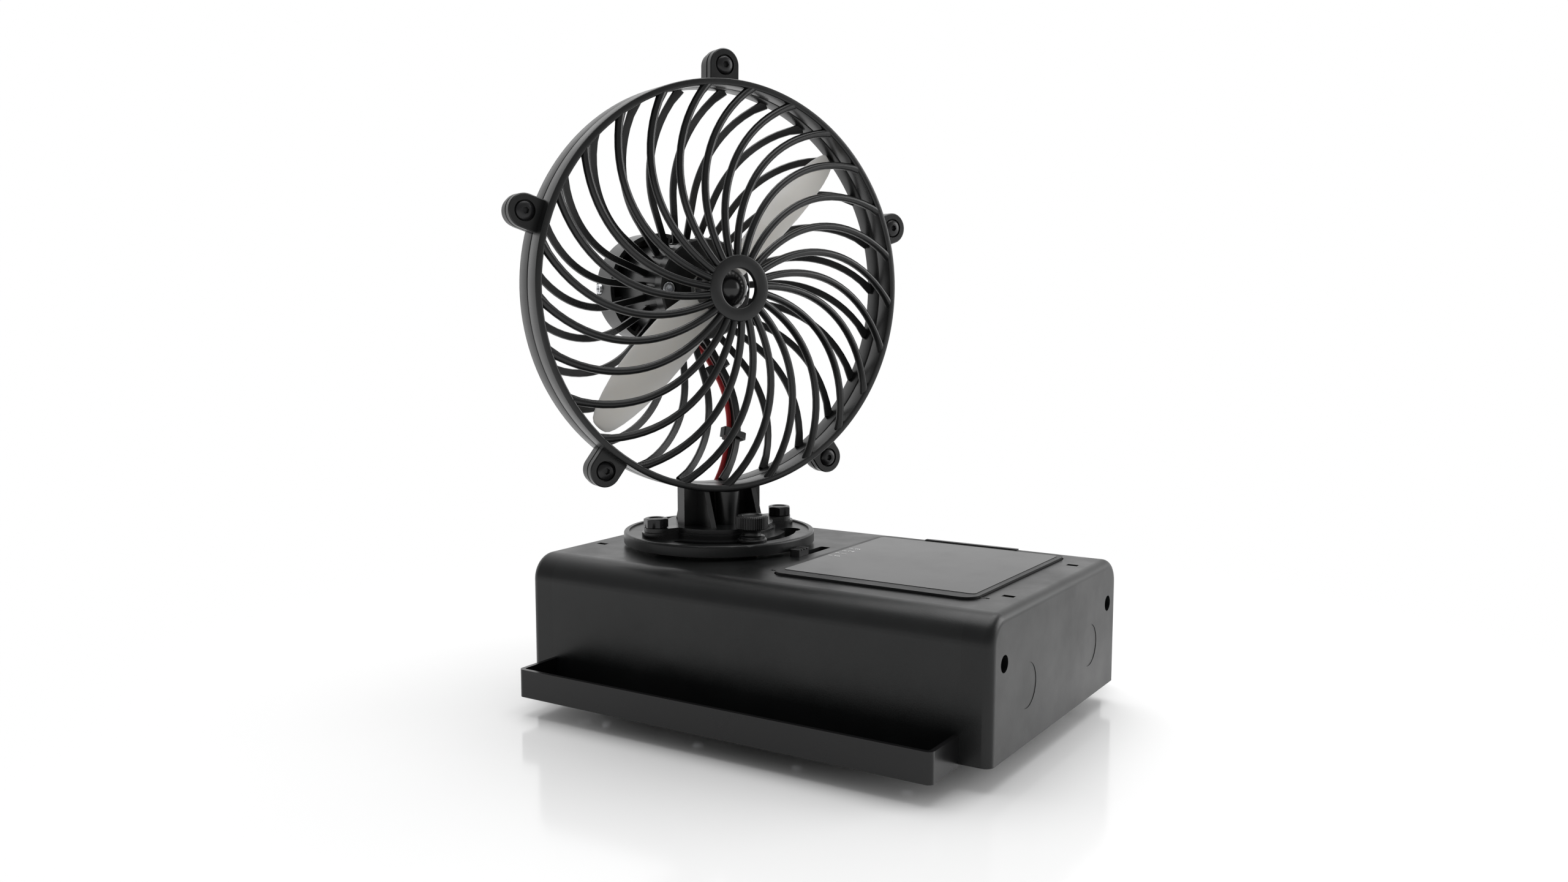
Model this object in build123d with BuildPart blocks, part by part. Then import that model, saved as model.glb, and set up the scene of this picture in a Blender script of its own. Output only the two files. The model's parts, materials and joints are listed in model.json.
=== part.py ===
"""Battery-driven fan cart for motion lessons.

A low closed cart on four hidden wheels carries a clamped turntable, and a caged two-bladed fan stands on it.
X runs along the cart, Z is up, and the origin is the centre of the flat underside.
"""

import os
from math import cos, pi, radians, sin, sqrt, tan

from build123d import *

os.makedirs("parts", exist_ok=True)

# ---------------------------------------------------------------- driving dimensions, in mm
BODY_LENGTH = 180.0
BODY_WIDTH = 111.0
BODY_HEIGHT = 45.2
CAP_LENGTH = 9.9
WALL = 2.0
TOP_EDGE_RADIUS = 9.0
CAP_EDGE_RADIUS = 3.0

WHEEL_RADIUS = 14.0
WHEEL_WIDTH = 5.0
WHEEL_BASE = 116.0
WHEEL_TRACK = 76.0
AXLE_Z = 6.2
AXLE_RADIUS = 1.5
BEARING_RADIUS = 4.0
BEARING_WIDTH = 4.0
BEARING_TRACK = 62.0

TURNTABLE_X = -45.8
DISC_RADIUS = 35.9
DISC_BOTTOM = 46.6
DISC_FLOOR = 50.1
DISC_TOP = 50.7
CLAMP_RADIUS = 27.0
CLAMP_TURN = -3.0
CLAMP_SLOT_WIDTH = 4.2
CLAMP_SLOT_HALF_ANGLE = 61.0
KNOB_RADIUS = 5.8
BOLT_OFFSET = 26.6
FLANGE_RADIUS = 21.2
FLANGE_STEP_Z = 52.1
FLANGE_TOP = 53.7
EAR_TIP_RADIUS = 31.7
EAR_WIDTH = 12.0

FAN_YAW = -25.75
FAN_AXIS_Z = 141.1
RING_OUTER = 75.06
RING_INNER = 72.6
RING_FRONT = 9.2
RING_SPLIT = 1.3
RING_REAR = -6.4
RIB_COUNT = 25
RIB_WIDTH = 2.8
RIB_DEPTH = 2.4
RIB_END = 74.4
REAR_BEND_START = 34.0
REAR_BEND_RADIUS = 38.2
HUB_RING_OUTER = 12.1
HUB_RING_INNER = 7.2
LUG_COUNT = 5
LUG_TURN = 0.7
LUG_RADIUS = 80.6
LUG_START = 73.2
LUG_TIP = 5.9

SLEEVE_OUTER = 17.5
SLEEVE_INNER = 14.1
SLEEVE_FRONT = -15.0
SLEEVE_REAR = -59.5
MOUNT_RADIUS = 19.0
MOUNT_FRONT = -8.5
MOUNT_SCREW = 15.8
CAN_OUTER = 13.85
CAN_INNER = 12.95
CAN_REAR = -48.0
BELL_REAR = -51.5
NOSE_RADIUS = 5.0
SHAFT_RADIUS = 1.15
COVER_OUTER = 22.15
COVER_INNER = 20.6
COVER_FRONT = -47.0
COVER_REAR = -61.5
COVER_SCREW = -57.0
VANE_COUNT = 16

BLADE_ANGLE = 44.7
BLADE_SECTIONS = (  # radius, chord, thickness, pitch in degrees, place along the axis
    (5.0, 10.5, 2.8, -38, -0.6),
    (18.0, 18.0, 2.5, -36, -1.4),
    (32.0, 18.6, 2.2, -30, -1.6),
    (46.0, 17.8, 1.9, -24.5, -1.2),
    (58.0, 14.4, 1.6, -20.5, -0.5),
    (65.5, 10.6, 1.3, -18, 0.0),
    (69.6, 6.0, 0.9, -17, 0.2),
)
HUB_RADIUS = 7.8
SPINNER_OUTER = 9.2
SPINNER_BASE = -1.0
SPINNER_TOP = 13.3

LEAD_ANGLE = 158.4
LEAD_RADIUS = 1.0
BOARD_LEAD_RADIUS = 0.8

# ---------------------------------------------------------------- dimensions worked out from them
shell_half = BODY_LENGTH / 2 - CAP_LENGTH
top_under = BODY_HEIGHT - WALL
inner_half = BODY_WIDTH / 2 - WALL
plate_thickness = 2.5
pad_length, pad_width = 74.0, 68.0
fan_dir = Vector(cos(radians(FAN_YAW)), sin(radians(FAN_YAW)), 0)
side_dir = Vector(-sin(radians(FAN_YAW)), cos(radians(FAN_YAW)), 0)
fan_origin = Vector(TURNTABLE_X, 0, FAN_AXIS_Z)
fan_axis = Axis(fan_origin, fan_dir)
fan_plane = Plane(origin=fan_origin, x_dir=side_dir, z_dir=fan_dir)
fan_profile = Plane(origin=fan_origin, x_dir=side_dir, z_dir=(0, 0, -1))
cover_screw_plane = Plane(origin=fan_origin + fan_dir * COVER_SCREW, x_dir=fan_dir, z_dir=side_dir)


def table_plane(z):
    """Level plane on the turntable's axis, its x along the fan's direction."""
    return Plane(origin=(TURNTABLE_X, 0, z), x_dir=fan_dir, z_dir=(0, 0, 1))


def fan_point(along, across, up):
    """A point of the fan head: along the fan's axis, across it, and up from it."""
    return fan_origin + fan_dir * along + side_dir * across + Vector(0, 0, up)


def rib_point(along, sideways, outward, angle):
    """A point of the fan head beside a radial line that stands at a clockwise angle from the top."""
    across = sideways * cos(radians(angle)) + outward * sin(radians(angle))
    up = outward * cos(radians(angle)) - sideways * sin(radians(angle))
    return fan_point(along, across, up)


# ================================================================ cart body
screw_spots = [(x, y) for x in (-72, 0, 72) for y in (-48.5, 48.5)]
tray_tab_xs = (-60, -20, 20, 60)
axle_xs = (-WHEEL_BASE / 2, WHEEL_BASE / 2)
wheel_spots = [(x, y) for x in axle_xs for y in (-WHEEL_TRACK / 2, WHEEL_TRACK / 2)]
bearing_spots = [(x, y) for x in axle_xs for y in (-BEARING_TRACK / 2, BEARING_TRACK / 2)]

door_left, door_right = 1.0, 75.5
door_near, door_far = -37.0, 43.5
door_top = 46.0
door_gap = 0.3
door_width = door_right - door_left
door_depth = door_far - door_near
door_x = (door_left + door_right) / 2
door_y = (door_near + door_far) / 2
door_corner = 5.0
door_thickness = 2.4
hinge_y = door_near + 5.5
hinge_z = door_top - door_thickness / 2
hinge_pin_radius = 0.6
latch_x, latch_length = 38.5, 37.0
latch_y, latch_width = 43.1, 1.8

switch_x, switch_width = -7.4, 4.2
switch_y, switch_length = 3.25, 22.5
knob_length = 7.3
knob_y = switch_y - switch_length / 2 + knob_length / 2 + 0.1

clamp_spot = table_plane(0).from_local_coords(Vector(CLAMP_RADIUS, 0, 0).rotate(Axis.Z, CLAMP_TURN))
pivot_radius = 7.0
pivot_thread_radius = 6.0
pivot_bore_radius = 3.0
pivot_bottom = 37.0


def body_section(inset, bottom):
    """Cross-section of the body, drawn in from its outer faces by the inset."""
    with BuildSketch(mode=Mode.PRIVATE) as outline:
        with Locations((0, bottom)):
            Rectangle(
                BODY_WIDTH - 2 * inset,
                BODY_HEIGHT - inset - bottom,
                align=(Align.CENTER, Align.MIN),
            )
        fillet(outline.vertices().group_by(Axis.Y)[-1], TOP_EDGE_RADIUS - inset)
    return outline.sketch


with BuildPart() as body_shell:
    with BuildSketch(Plane.YZ.offset(-shell_half)):
        add(body_section(0, 0))
    extrude(amount=2 * shell_half)
    with BuildSketch(Plane.YZ.offset(-shell_half)):
        add(body_section(WALL, 0))
    extrude(amount=2 * shell_half, mode=Mode.SUBTRACT)
    # posts for the screws that hold the chassis plate
    with BuildSketch(Plane.XY.offset(plate_thickness)):
        with Locations(*screw_spots):
            Circle(3.2)
    extrude(amount=top_under - plate_thickness + 0.1)
    with BuildSketch(Plane.XY.offset(plate_thickness)):
        with Locations(*screw_spots):
            Circle(1.25)
    extrude(amount=12, mode=Mode.SUBTRACT)
    # frame and shelf under the battery door
    with BuildSketch(Plane.XY.offset(40.9)):
        with Locations((door_x, door_y)):
            Rectangle(door_width + 2 * (door_gap + 1.5), door_depth + 2 * (door_gap + 1.5))
    extrude(amount=top_under - 40.9)
    with BuildSketch(Plane.XY.offset(42.1)):
        with Locations((door_x, door_y)):
            RectangleRounded(door_width + 2 * door_gap, door_depth + 2 * door_gap, door_corner)
        with Locations((latch_x, latch_y)):
            Rectangle(latch_length + 0.4, latch_width + 0.4)
    extrude(amount=BODY_HEIGHT - 42.1, mode=Mode.SUBTRACT)
    with BuildSketch(Plane.XY.offset(40)):
        with Locations((door_x, door_y)):
            RectangleRounded(door_width - 5, door_depth - 5, 3)
        with Locations((door_x, door_near - door_gap)):
            Rectangle(door_width + 2 * door_gap, 9, align=(Align.CENTER, Align.MIN))
    extrude(amount=5, mode=Mode.SUBTRACT)
    # finger notch behind the latch
    with BuildSketch(Plane.XY.offset(BODY_HEIGHT - 1.0)):
        with Locations((39, 45.6)):
            RectangleRounded(8, 3.4, 1.2)
    extrude(amount=1.0, mode=Mode.SUBTRACT)
    # blind sockets for the hinge pins
    with BuildSketch(Plane.YZ.offset(door_left - 3)):
        with Locations((hinge_y, hinge_z)):
            Circle(hinge_pin_radius + 0.05)
    extrude(amount=door_width + 6, mode=Mode.SUBTRACT)
    # switch slot, turntable pivot and clamp screw
    with BuildSketch(Plane.XY.offset(top_under)):
        with Locations((switch_x, switch_y)):
            RectangleRounded(switch_width, switch_length, 0.8)
    extrude(amount=WALL, mode=Mode.SUBTRACT)
    with BuildSketch(Plane.XY.offset(top_under - 7.2)):
        with Locations((clamp_spot.X, clamp_spot.Y)):
            Circle(5)
    extrude(amount=7.2)
    with BuildSketch(Plane.XY.offset(30)):
        with Locations((clamp_spot.X, clamp_spot.Y)):
            Circle(3)
        with Locations((TURNTABLE_X, 0)):
            Circle(pivot_radius + 0.05)
    extrude(amount=20, mode=Mode.SUBTRACT)
body_shell.part.label = "body_shell"
export_step(body_shell.part, "parts/body_shell.step")

post_spots = [(x, y) for x in (-32, -2) for y in (-24, 24)]
holder_legs = [(x, y) for x in (14, 38) for y in (-22, 28)]
board_z = 24.0
holder_floor = 22.0

with BuildPart() as chassis_plate:
    with BuildSketch():
        RectangleRounded(2 * shell_half - 0.2, 2 * inner_half - 0.2, 3)
    extrude(amount=plate_thickness)
    with BuildSketch(Plane.XY.offset(plate_thickness)):
        with Locations(*bearing_spots):
            Rectangle(12, BEARING_WIDTH)
    extrude(amount=10.5)
    fillet(chassis_plate.edges().filter_by(Axis.Y).group_by(Axis.Z)[-1], 4)
    with BuildSketch(Plane.XY.offset(plate_thickness)):
        with Locations(*post_spots):
            Circle(2.5)
    extrude(amount=board_z - plate_thickness)
    with BuildSketch(Plane.XY.offset(plate_thickness)):
        with Locations(*holder_legs):
            RectangleRounded(6, 6, 1)
    extrude(amount=holder_floor - plate_thickness)
    with BuildSketch(Plane.XY.offset(plate_thickness)):
        with Locations(*[(x, y) for x in tray_tab_xs for y in (-50, 50)]):
            Circle(2.8)
    extrude(amount=5.5)
    with BuildSketch():
        with Locations(*wheel_spots):
            Rectangle(27.6, WHEEL_WIDTH + 2)
    extrude(amount=plate_thickness, mode=Mode.SUBTRACT)
    with BuildSketch():
        with Locations(*screw_spots):
            Circle(1.4)
        with Locations(*[(x, y) for x in tray_tab_xs for y in (-50, 50)]):
            Circle(1.05)
    extrude(amount=7, mode=Mode.SUBTRACT)
    with BuildSketch():
        with Locations(*screw_spots):
            Circle(2.5)
    extrude(amount=1.5, mode=Mode.SUBTRACT)
    with BuildSketch(Plane.XZ.offset(-40)):
        with Locations((-WHEEL_BASE / 2, AXLE_Z), (WHEEL_BASE / 2, AXLE_Z)):
            Circle(BEARING_RADIUS + 0.02)
    extrude(amount=80, mode=Mode.SUBTRACT)
    # groove round the flat pad that a lifting block bears on
    with BuildSketch():
        RectangleRounded(pad_length + 2, pad_width + 2, 4)
        RectangleRounded(pad_length, pad_width, 3, mode=Mode.SUBTRACT)
    extrude(amount=0.4, mode=Mode.SUBTRACT)
chassis_plate.part.label = "chassis_plate"
export_step(chassis_plate.part, "parts/chassis_plate.step")

with BuildPart() as chassis_screws:
    with BuildSketch(Plane.XY.offset(0.1)):
        with Locations(*screw_spots):
            Circle(2.3)
    extrude(amount=1.4)
    with BuildSketch(Plane.XY.offset(1.5)):
        with Locations(*screw_spots):
            Circle(1.2)
    extrude(amount=10)
    with BuildSketch(Plane.XY.offset(0.1)):
        with Locations(*screw_spots):
            Rectangle(2.6, 0.6)
            Rectangle(0.6, 2.6)
    extrude(amount=0.8, mode=Mode.SUBTRACT)
chassis_screws.part.label = "chassis_screws"
export_step(chassis_screws.part, "parts/chassis_screws.step")

# ---------------------------------------------------------------- end caps with accessory sockets and magnets
cap_wall = 2.4
socket_y, socket_z, socket_radius, socket_depth = 46.2, 29.8, 2.75, 9.8
magnet_y, magnet_z, magnet_radius, magnet_depth = 27.95, 18.7, 7.3, 3.0
cap_face = BODY_LENGTH / 2
magnet_face = cap_face - cap_wall

with BuildPart() as front_cap:
    with BuildSketch(Plane.YZ.offset(shell_half)):
        add(body_section(0, 0))
    extrude(amount=CAP_LENGTH)
    outer_face = front_cap.faces().sort_by(Axis.X)[-1]
    fillet(outer_face.edges().filter_by(lambda e: e.center().Z > 1), CAP_EDGE_RADIUS)
    with BuildSketch(Plane.YZ.offset(shell_half)):
        add(body_section(cap_wall, cap_wall))
    extrude(amount=CAP_LENGTH - cap_wall, mode=Mode.SUBTRACT)
    # tongue that slides into the shell above the chassis plate
    with BuildSketch(Plane.YZ.offset(shell_half - 2.5)):
        add(body_section(WALL + 0.05, 2.7))
        add(body_section(WALL + 1.5, 2.7), mode=Mode.SUBTRACT)
    extrude(amount=2.5)
    with BuildSketch(Plane.YZ.offset(shell_half)):
        add(body_section(WALL + 0.05, 2.7))
        add(body_section(WALL + 1.5, 2.7), mode=Mode.SUBTRACT)
    extrude(amount=1.5)
    with BuildSketch(Plane.YZ.offset(cap_face - socket_depth)):
        with Locations((-socket_y, socket_z), (socket_y, socket_z)):
            Circle(4.5)
    extrude(amount=socket_depth - 1)
    with BuildSketch(Plane.YZ.offset(magnet_face - magnet_depth)):
        with Locations((-magnet_y, magnet_z), (magnet_y, magnet_z)):
            Circle(magnet_radius + 1.3)
            Circle(magnet_radius + 0.1, mode=Mode.SUBTRACT)
    extrude(amount=magnet_depth)
    with BuildSketch(Plane.YZ.offset(cap_face - socket_depth)):
        with Locations((-socket_y, socket_z), (socket_y, socket_z)):
            Circle(socket_radius)
    extrude(amount=socket_depth, mode=Mode.SUBTRACT)
    with BuildSketch(Plane.YZ.offset(cap_face - 0.15)):
        with Locations((-magnet_y, magnet_z), (magnet_y, magnet_z)):
            Circle(magnet_radius)
    extrude(amount=0.15, mode=Mode.SUBTRACT)
    # release notches beside the seam
    with BuildSketch(Plane.XY.offset(BODY_HEIGHT - 0.7)):
        with Locations((shell_half + 2, 31.5), (shell_half + 2, -25)):
            Rectangle(4, 2.4)
    extrude(amount=0.7, mode=Mode.SUBTRACT)
front_cap.part.label = "front_cap"
export_step(front_cap.part, "parts/front_cap.step")

with BuildPart() as rear_cap:
    add(mirror(front_cap.part, about=Plane.YZ, mode=Mode.PRIVATE))
rear_cap.part.label = "rear_cap"
export_step(rear_cap.part, "parts/rear_cap.step")

with BuildPart() as magnets:
    with BuildSketch(Plane.YZ.offset(magnet_face - magnet_depth)):
        with Locations((-magnet_y, magnet_z), (magnet_y, magnet_z)):
            Circle(magnet_radius)
    extrude(amount=magnet_depth)
    mirror(about=Plane.YZ)
magnets.part.label = "magnets"
export_step(magnets.part, "parts/magnets.step")

# ---------------------------------------------------------------- side trays
tray_length, tray_width, tray_wall = 159.7, 18.3, 1.5
tray_bottom, tray_top = -0.95, 8.84
body_side = -BODY_WIDTH / 2
tray_outer = body_side - tray_width

with BuildPart() as right_tray:
    with BuildSketch(Plane.XY.offset(tray_bottom)) as tray_outline:
        with Locations((0, (body_side + tray_outer) / 2)):
            Rectangle(tray_length, tray_width)
        fillet(tray_outline.vertices().group_by(Axis.Y)[0], 2)
    extrude(amount=tray_top - tray_bottom)
    with BuildSketch(Plane.XY.offset(tray_bottom + tray_wall)) as tray_hollow:
        with Locations((0, (body_side + tray_outer + tray_wall) / 2)):
            Rectangle(tray_length - 2 * tray_wall, tray_width - tray_wall)
        fillet(tray_hollow.vertices().group_by(Axis.Y)[0], 1)
    extrude(amount=20, mode=Mode.SUBTRACT)
    with BuildSketch(Plane.XY.offset(tray_bottom)):
        with Locations(*[(x, -50.5) for x in tray_tab_xs]):
            Rectangle(12, 10)
    extrude(amount=-tray_bottom)
    with BuildSketch(Plane.XY.offset(tray_bottom)):
        with Locations(*[(x, -50) for x in tray_tab_xs]):
            Circle(1.3)
    extrude(amount=2, mode=Mode.SUBTRACT)
right_tray.part.label = "right_tray"
export_step(right_tray.part, "parts/right_tray.step")

with BuildPart() as left_tray:
    add(mirror(right_tray.part, about=Plane.XZ, mode=Mode.PRIVATE))
left_tray.part.label = "left_tray"
export_step(left_tray.part, "parts/left_tray.step")

with BuildPart() as tray_screws:
    with BuildSketch(Plane.XY.offset(tray_bottom)):
        with Locations(*[(x, y) for x in tray_tab_xs for y in (-50, 50)]):
            Circle(2.1)
    extrude(amount=-1.3, taper=12)
    with BuildSketch(Plane.XY.offset(tray_bottom)):
        with Locations(*[(x, y) for x in tray_tab_xs for y in (-50, 50)]):
            Circle(1.0)
    extrude(amount=7.5)
tray_screws.part.label = "tray_screws"
export_step(tray_screws.part, "parts/tray_screws.step")

# ---------------------------------------------------------------- axles, bearings and wheels
with BuildPart() as axle_bearings:
    for x, y in bearing_spots:
        with BuildSketch(Plane.XZ.offset(-y - BEARING_WIDTH / 2)):
            with Locations((x, AXLE_Z)):
                Circle(BEARING_RADIUS)
                Circle(AXLE_RADIUS + 0.05, mode=Mode.SUBTRACT)
        extrude(amount=BEARING_WIDTH)
axle_bearings.part.label = "axle_bearings"
export_step(axle_bearings.part, "parts/axle_bearings.step")


def axle_shaft(x):
    """One steel axle with rounded ends, lying across the cart."""
    with BuildPart() as axle:
        with BuildSketch(Plane.XZ.offset(-43)):
            with Locations((x, AXLE_Z)):
                Circle(AXLE_RADIUS)
        extrude(amount=86)
        chamfer(axle.edges().filter_by(GeomType.CIRCLE), 0.3)
    return axle.part


def wheel_pair(x):
    """The two wheels of one axle: a grooved rim with a thick round tread, a web and a hub."""
    with BuildPart() as wheels:
        profile = Plane(origin=(x, WHEEL_TRACK / 2, AXLE_Z), x_dir=(1, 0, 0), z_dir=(0, 0, 1))
        with BuildSketch(profile):
            with Locations((WHEEL_RADIUS - 1.5, 0)):
                RectangleRounded(3, WHEEL_WIDTH, 1.2)
            with Locations((WHEEL_RADIUS - 3.2, 0)):
                Rectangle(1.4, 3.6)
            with Locations((WHEEL_RADIUS / 2, 0)):
                Rectangle(WHEEL_RADIUS - 5, 1.6)
            with Locations(((AXLE_RADIUS + 3.6) / 2, 0)):
                Rectangle(3.6 - AXLE_RADIUS, WHEEL_WIDTH)
        revolve(axis=Axis((x, 0, AXLE_Z), (0, 1, 0)))
        with Locations((x, WHEEL_TRACK / 2, AXLE_Z)):
            Cylinder(AXLE_RADIUS, WHEEL_WIDTH, rotation=(90, 0, 0), mode=Mode.SUBTRACT)
        mirror(about=Plane.XZ)
    return wheels.part


with BuildPart() as front_axle:
    add(axle_shaft(WHEEL_BASE / 2))
front_axle.part.label = "front_axle"
export_step(front_axle.part, "parts/front_axle.step")

with BuildPart() as rear_axle:
    add(axle_shaft(-WHEEL_BASE / 2))
rear_axle.part.label = "rear_axle"
export_step(rear_axle.part, "parts/rear_axle.step")

with BuildPart() as front_wheels:
    add(wheel_pair(WHEEL_BASE / 2))
front_wheels.part.label = "front_wheels"
export_step(front_wheels.part, "parts/front_wheels.step")

with BuildPart() as rear_wheels:
    add(wheel_pair(-WHEEL_BASE / 2))
rear_wheels.part.label = "rear_wheels"
export_step(rear_wheels.part, "parts/rear_wheels.step")

# ================================================================ power: cells, holder, board and switch
cell_radius, cell_length, cell_pitch = 7.1, 49.5, 15.0
cell_x, cell_z = 38.0, holder_floor + 1.7 + cell_radius
cell_ys = [door_y + (i - 1.5) * cell_pitch for i in range(4)]
holder_length, holder_width, holder_top = 60.0, 63.0, 40.0

with BuildPart() as battery_holder:
    with BuildSketch(Plane.XY.offset(holder_floor)):
        with Locations((cell_x, door_y)):
            RectangleRounded(holder_length, holder_width, 2)
    extrude(amount=holder_top - holder_floor)
    with BuildSketch(Plane.XY.offset(holder_floor + 1.5)):
        with Locations((cell_x, door_y)):
            Rectangle(holder_length - 3, holder_width - 3)
    extrude(amount=20, mode=Mode.SUBTRACT)
    with BuildSketch(Plane.XY.offset(holder_floor + 1.5)):
        with Locations(*[(cell_x, door_y + i * cell_pitch) for i in (-1, 0, 1)]):
            Rectangle(holder_length - 3, 0.6)
    extrude(amount=6)
battery_holder.part.label = "battery_holder"
export_step(battery_holder.part, "parts/battery_holder.step")

with BuildPart() as battery_cells:
    for i, y in enumerate(cell_ys):
        way = 1 if i % 2 else -1
        base = Plane(origin=(cell_x - way * cell_length / 2, y, cell_z), x_dir=(0, 1, 0), z_dir=(way, 0, 0))
        with BuildSketch(base):
            Circle(cell_radius)
        extrude(amount=cell_length)
        with BuildSketch(base.offset(cell_length)):
            Circle(2.75)
        extrude(amount=1.0)
battery_cells.part.label = "battery_cells"
export_step(battery_cells.part, "parts/battery_cells.step")

with BuildPart() as battery_contacts:
    for i, y in enumerate(cell_ys):
        way = 1 if i % 2 else -1
        minus = Plane(origin=(cell_x - way * 28.5, y, cell_z), x_dir=(0, 1, 0), z_dir=(way, 0, 0))
        plus = Plane(origin=(cell_x + way * 28.5, y, cell_z), x_dir=(0, 1, 0), z_dir=(-way, 0, 0))
        with BuildSketch(minus):
            RectangleRounded(10, 10, 1)
        extrude(amount=0.5)
        with BuildSketch(minus.offset(0.5)):
            Circle(4)
        with BuildSketch(minus.offset(3.7)):
            Circle(2)
        loft()
        with BuildSketch(plus):
            RectangleRounded(10, 10, 1)
        extrude(amount=0.5)
        with BuildSketch(plus.offset(0.5)):
            Circle(3)
        extrude(amount=2.2)
battery_contacts.part.label = "battery_contacts"
export_step(battery_contacts.part, "parts/battery_contacts.step")

with BuildPart() as circuit_board:
    with BuildSketch(Plane.XY.offset(board_z)):
        with Locations((-17, 0)):
            RectangleRounded(38, 56, 2)
    extrude(amount=1.6)
circuit_board.part.label = "circuit_board"
export_step(circuit_board.part, "parts/circuit_board.step")

board_top = board_z + 1.6
with BuildPart() as board_components:
    with BuildSketch(Plane.XY.offset(board_top)):
        with Locations((-29, 18), (-29, -18)):
            Circle(4)
    extrude(amount=9)
    with BuildSketch(Plane.XY.offset(board_top)):
        with Locations((-22, 4)):
            Rectangle(6, 9)
        with Locations((-31, 0)):
            Rectangle(5, 8)
    extrude(amount=2.6)
board_components.part.label = "board_components"
export_step(board_components.part, "parts/board_components.step")

with BuildPart() as switch_body:
    with BuildSketch(Plane.XY.offset(board_top)):
        with Locations((switch_x, switch_y)):
            RectangleRounded(9.6, 32.5, 1)
    extrude(amount=40.8 - board_top)
switch_body.part.label = "switch_body"
export_step(switch_body.part, "parts/switch_body.step")

with BuildPart() as switch_knob:
    with BuildSketch(Plane.XY.offset(41.1)):
        with Locations((switch_x, knob_y)):
            Rectangle(7.8, 11.3)
    extrude(amount=1.8)
    with BuildSketch(Plane.XY.offset(42.9)):
        with Locations((switch_x, knob_y)):
            RectangleRounded(switch_width - 0.4, knob_length, 0.7)
    extrude(amount=4.9)
    with BuildSketch(Plane.XY.offset(47.3)):
        with Locations((switch_x, knob_y)):
            with GridLocations(0, 1.8, 1, 3):
                Rectangle(5, 0.7)
    extrude(amount=0.6, mode=Mode.SUBTRACT)
switch_knob.part.label = "switch_knob"
export_step(switch_knob.part, "parts/switch_knob.step")

# ---------------------------------------------------------------- battery door, its latch and its label
with BuildPart() as battery_door:
    with BuildSketch(Plane.XY.offset(door_top - door_thickness)):
        with Locations((door_x, door_y)):
            RectangleRounded(door_width, door_depth, door_corner)
        with Locations((latch_x, latch_y)):
            Rectangle(latch_length + 0.4, latch_width + 0.4, mode=Mode.SUBTRACT)
    extrude(amount=door_thickness)
    # rim below the plate, clear of the part that swings down
    with BuildSketch(Plane.XY.offset(door_top - 3.8)):
        with Locations((door_x, door_y)):
            RectangleRounded(door_width, door_depth, door_corner)
        with Locations((door_x, door_y)):
            RectangleRounded(door_width - 4, door_depth - 6, door_corner - 2, mode=Mode.SUBTRACT)
        with Locations((door_x, door_near)):
            Rectangle(door_width + 1, 2 * (door_corner + 5), mode=Mode.SUBTRACT)
        with Locations((latch_x, latch_y)):
            Rectangle(latch_length + 0.4, latch_width + 0.4, mode=Mode.SUBTRACT)
    extrude(amount=1.4)
    # pins that stand out of both sides on the hinge line
    with BuildSketch(Plane.YZ.offset(door_left - 2)):
        with Locations((hinge_y, hinge_z)):
            Circle(hinge_pin_radius)
    extrude(amount=door_width + 4)
battery_door.part.label = "battery_door"
export_step(battery_door.part, "parts/battery_door.step")

with BuildPart() as door_latch:
    with BuildSketch(Plane.XY.offset(43.0)):
        with Locations((latch_x, latch_y)):
            Rectangle(latch_length, latch_width)
    extrude(amount=3.4)
door_latch.part.label = "door_latch"
export_step(door_latch.part, "parts/door_latch.step")

with BuildPart() as label_sheet:
    with BuildSketch(Plane.XY.offset(door_top)):
        with Locations((38.25, 4.25)):
            RectangleRounded(70.5, 71.5, 1.5)
    extrude(amount=0.15)
label_sheet.part.label = "label_sheet"
export_step(label_sheet.part, "parts/label_sheet.step")

# ================================================================ turntable and clamp
with BuildPart() as friction_washer:
    with BuildSketch(table_plane(BODY_HEIGHT)):
        Circle(24)
        Circle(pivot_radius + 0.3, mode=Mode.SUBTRACT)
    extrude(amount=DISC_BOTTOM - BODY_HEIGHT - 0.1)
friction_washer.part.label = "friction_washer"
export_step(friction_washer.part, "parts/friction_washer.step")

with BuildPart() as clamp_insert:
    with BuildSketch(Plane.XY.offset(37.5)):
        with Locations((clamp_spot.X, clamp_spot.Y)):
            Circle(3)
            Circle(2, mode=Mode.SUBTRACT)
    extrude(amount=BODY_HEIGHT - 37.5)
clamp_insert.part.label = "clamp_insert"
export_step(clamp_insert.part, "parts/clamp_insert.step")

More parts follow.
